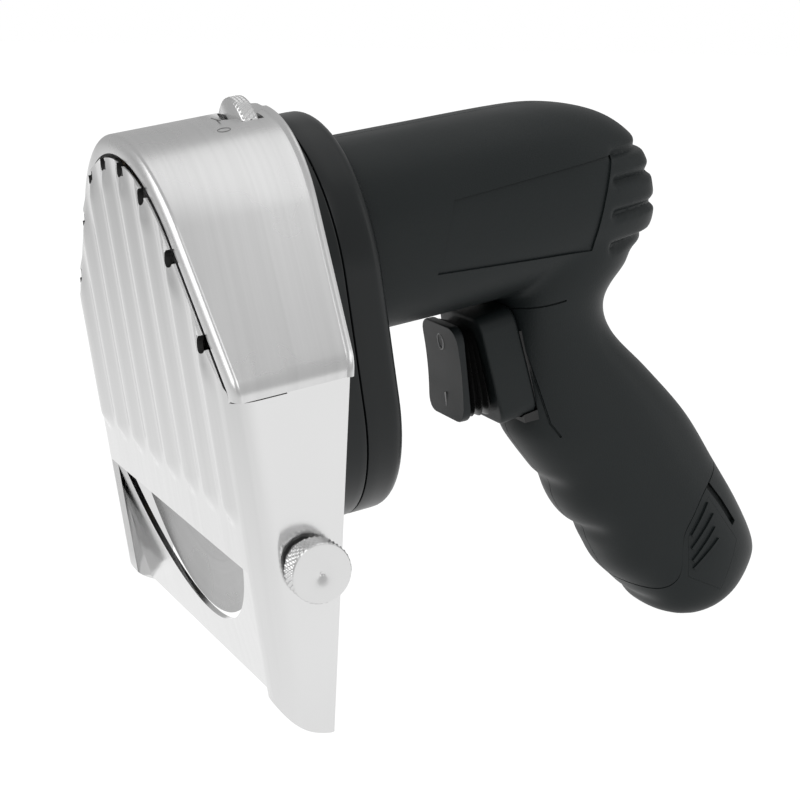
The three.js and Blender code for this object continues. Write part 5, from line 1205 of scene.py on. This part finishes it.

# %% [markdown]
# ## The switch
#
# A hollowed paddle rocks in a frame, and a folded rubber boot closes the gap between them. The boot is
# lofted from the paddle's lean to the frame's lean and is not attached to either. The paddle's two marks are
# thin inlays that sit a hair above its face.

# %% Frame, paddle and boot
def rounded_block(half_y, half_z, corner, front, back, edge):
    piece = lean_room(half_y, half_z, corner, front, back)
    apply(piece, "BEVEL", width=edge * MM, segments=4, limit_method="ANGLE", angle_limit=math.radians(40))
    return piece


PIN_X = 85.5
PIN_Z = -11.5
PIN_HOLE = 1.7
bezel = rounded_block(BEZEL_HALF_Y, BEZEL_HALF_Z, SWITCH_CORNER, 0, BEZEL_DEPTH, 0.9)
combine(bezel, lean_room(7, 9, SWITCH_CORNER, -5, 20), "DIFFERENCE")
leaning(bezel, BEZEL_LEAN, BEZEL_X, BEZEL_Z)
bezel.name = "switch_frame"
combine(bezel, rod("pin_hole", PIN_HOLE, -10.9, 10.9, "Y", PIN_X, PIN_Z), "DIFFERENCE")
smooth(bezel, 32)
dress(bezel, "body", "shell_black", "switch_bezel")

PADDLE_LEAN = 2
PADDLE_X = 73.6
PADDLE_Z = -11.2
PADDLE_HALF_Y = 10
PADDLE_HALF_Z = 12.25
PADDLE_HOLLOW = 0.8
hollow_radius = (PADDLE_HALF_Z**2 + PADDLE_HOLLOW**2) / (2 * PADDLE_HOLLOW)
paddle = rounded_block(PADDLE_HALF_Y, PADDLE_HALF_Z, SWITCH_CORNER, 0, 2.6, 0.5)
hollow = rod("hollow", hollow_radius, -60, 60, "Y", PADDLE_HOLLOW - hollow_radius, 0, 720)
combine(paddle, hollow, "DIFFERENCE")
leaning(paddle, PADDLE_LEAN, PADDLE_X, PADDLE_Z)
paddle.name = "paddle"
combine(paddle, block("stem", [(74.9, -15), (89, -15), (89, -8), (74.9, -8)], -3.5, 3.5, "Y"), "UNION")
combine(paddle, rod("pin_hole", PIN_HOLE, -80, 80, "Y", PIN_X, PIN_Z), "DIFFERENCE")
smooth(paddle, 32)
dress(paddle, "rocker", "switch_grey", "rocker_paddle")

BOOT_FOLDS = 3
BOOT_FRONT_X = 76.5
BOOT_DEPTH = 4.8
u, v = squared_ring(120, 5)
rows = []
for t in np.linspace(0, 1, 43):
    margin = 0.4 + 1.8 * (0.5 + 0.5 * math.cos(2 * math.pi * BOOT_FOLDS * t)) ** 0.8
    half_y, half_z = PADDLE_HALF_Y - margin, PADDLE_HALF_Z - margin
    slope = math.tan(math.radians(PADDLE_LEAN + (BEZEL_LEAN - PADDLE_LEAN) * t))
    x, z = BOOT_FRONT_X + BOOT_DEPTH * t, half_z * v
    rows.append(np.stack([x + slope * z, half_y * u, PADDLE_Z - 0.8 * t + z], axis=1))
boot = grid_skin("folded_boot", rows)
boot_bore = [(60, -17.5), (95, -17.5), (95, -5.5), (60, -5.5)]
combine(boot, block("boot_bore", boot_bore, -5, 5, "Y"), "DIFFERENCE")
smooth(boot, 40)
dress(boot, None, "boot_rubber", "rocker_bellows")
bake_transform(boot)
print("switch", len(bezel.data.polygons), len(paddle.data.polygons), len(boot.data.polygons))

# %% Marks
def ring_mark(name, wide, high, line):
    bpy.ops.object.select_all(action="DESELECT")
    bpy.ops.mesh.primitive_torus_add(
        major_segments=64, minor_segments=10, major_radius=high * MM, minor_radius=line * MM
    )
    made = bpy.context.object
    made.name = name
    made.scale = (wide / high, 1, 1)
    bpy.ops.object.transform_apply(scale=True)
    return made


def line_mark(name, half, line):
    bpy.ops.object.select_all(action="DESELECT")
    bpy.ops.mesh.primitive_cylinder_add(
        vertices=16, radius=line * MM, depth=2 * half * MM, rotation=(math.pi / 2, 0, 0)
    )
    made = bpy.context.object
    made.name = name
    bpy.ops.object.transform_apply(rotation=True)
    return made


def place_mark(made, place, up, outward):
    across = Vector(up).cross(Vector(outward)).normalized()
    turn = Matrix((across, Vector(up).normalized(), Vector(outward).normalized())).transposed().to_4x4()
    made.matrix_world = Matrix.Translation(MM * Vector(place)) @ turn
    pick(made)
    bpy.ops.object.transform_apply(location=True, rotation=True)


def paddle_face(z):
    lean = math.radians(PADDLE_LEAN)
    sag = PADDLE_HOLLOW - (hollow_radius - math.sqrt(hollow_radius**2 - z**2))
    return (PADDLE_X + sag * math.cos(lean) + z * math.sin(lean), 0, PADDLE_Z + z * math.cos(lean))


off_mark = ring_mark("off_mark", 1.55, 2.0, 0.2)
place_mark(off_mark, paddle_face(7.4), (0, 0, 1), (-1, 0, 0))
on_mark = line_mark("on_mark", 2.0, 0.21)
place_mark(on_mark, paddle_face(-7.8), (0, 0, 1), (-1, 0, 0))
for made in (off_mark, on_mark):
    smooth(made, 40)
    dress(made, "rocker", "mark_paint")


def band_point(x, y):
    lift = math.sqrt(BAND_TOP_RADIUS**2 - y**2)
    return (x, y, BAND_TOP_CENTRE_Z + lift), (0, y, lift)


zero = ring_mark("zero_mark", 1.0, 1.5, 0.12)
place, outward = band_point(23.0, -12.4)
place_mark(zero, place, (1, 0, 0), outward)
index = line_mark("index_mark", 3.2, 0.12)
place, outward = band_point(24.0, -4.6)
place_mark(index, place, (0, 1, -0.1), outward)
for made in (zero, index):
    smooth(made, 40)
    dress(made, "body", "engraving")
print("marks", [made.name for made in (off_mark, on_mark, zero, index)])
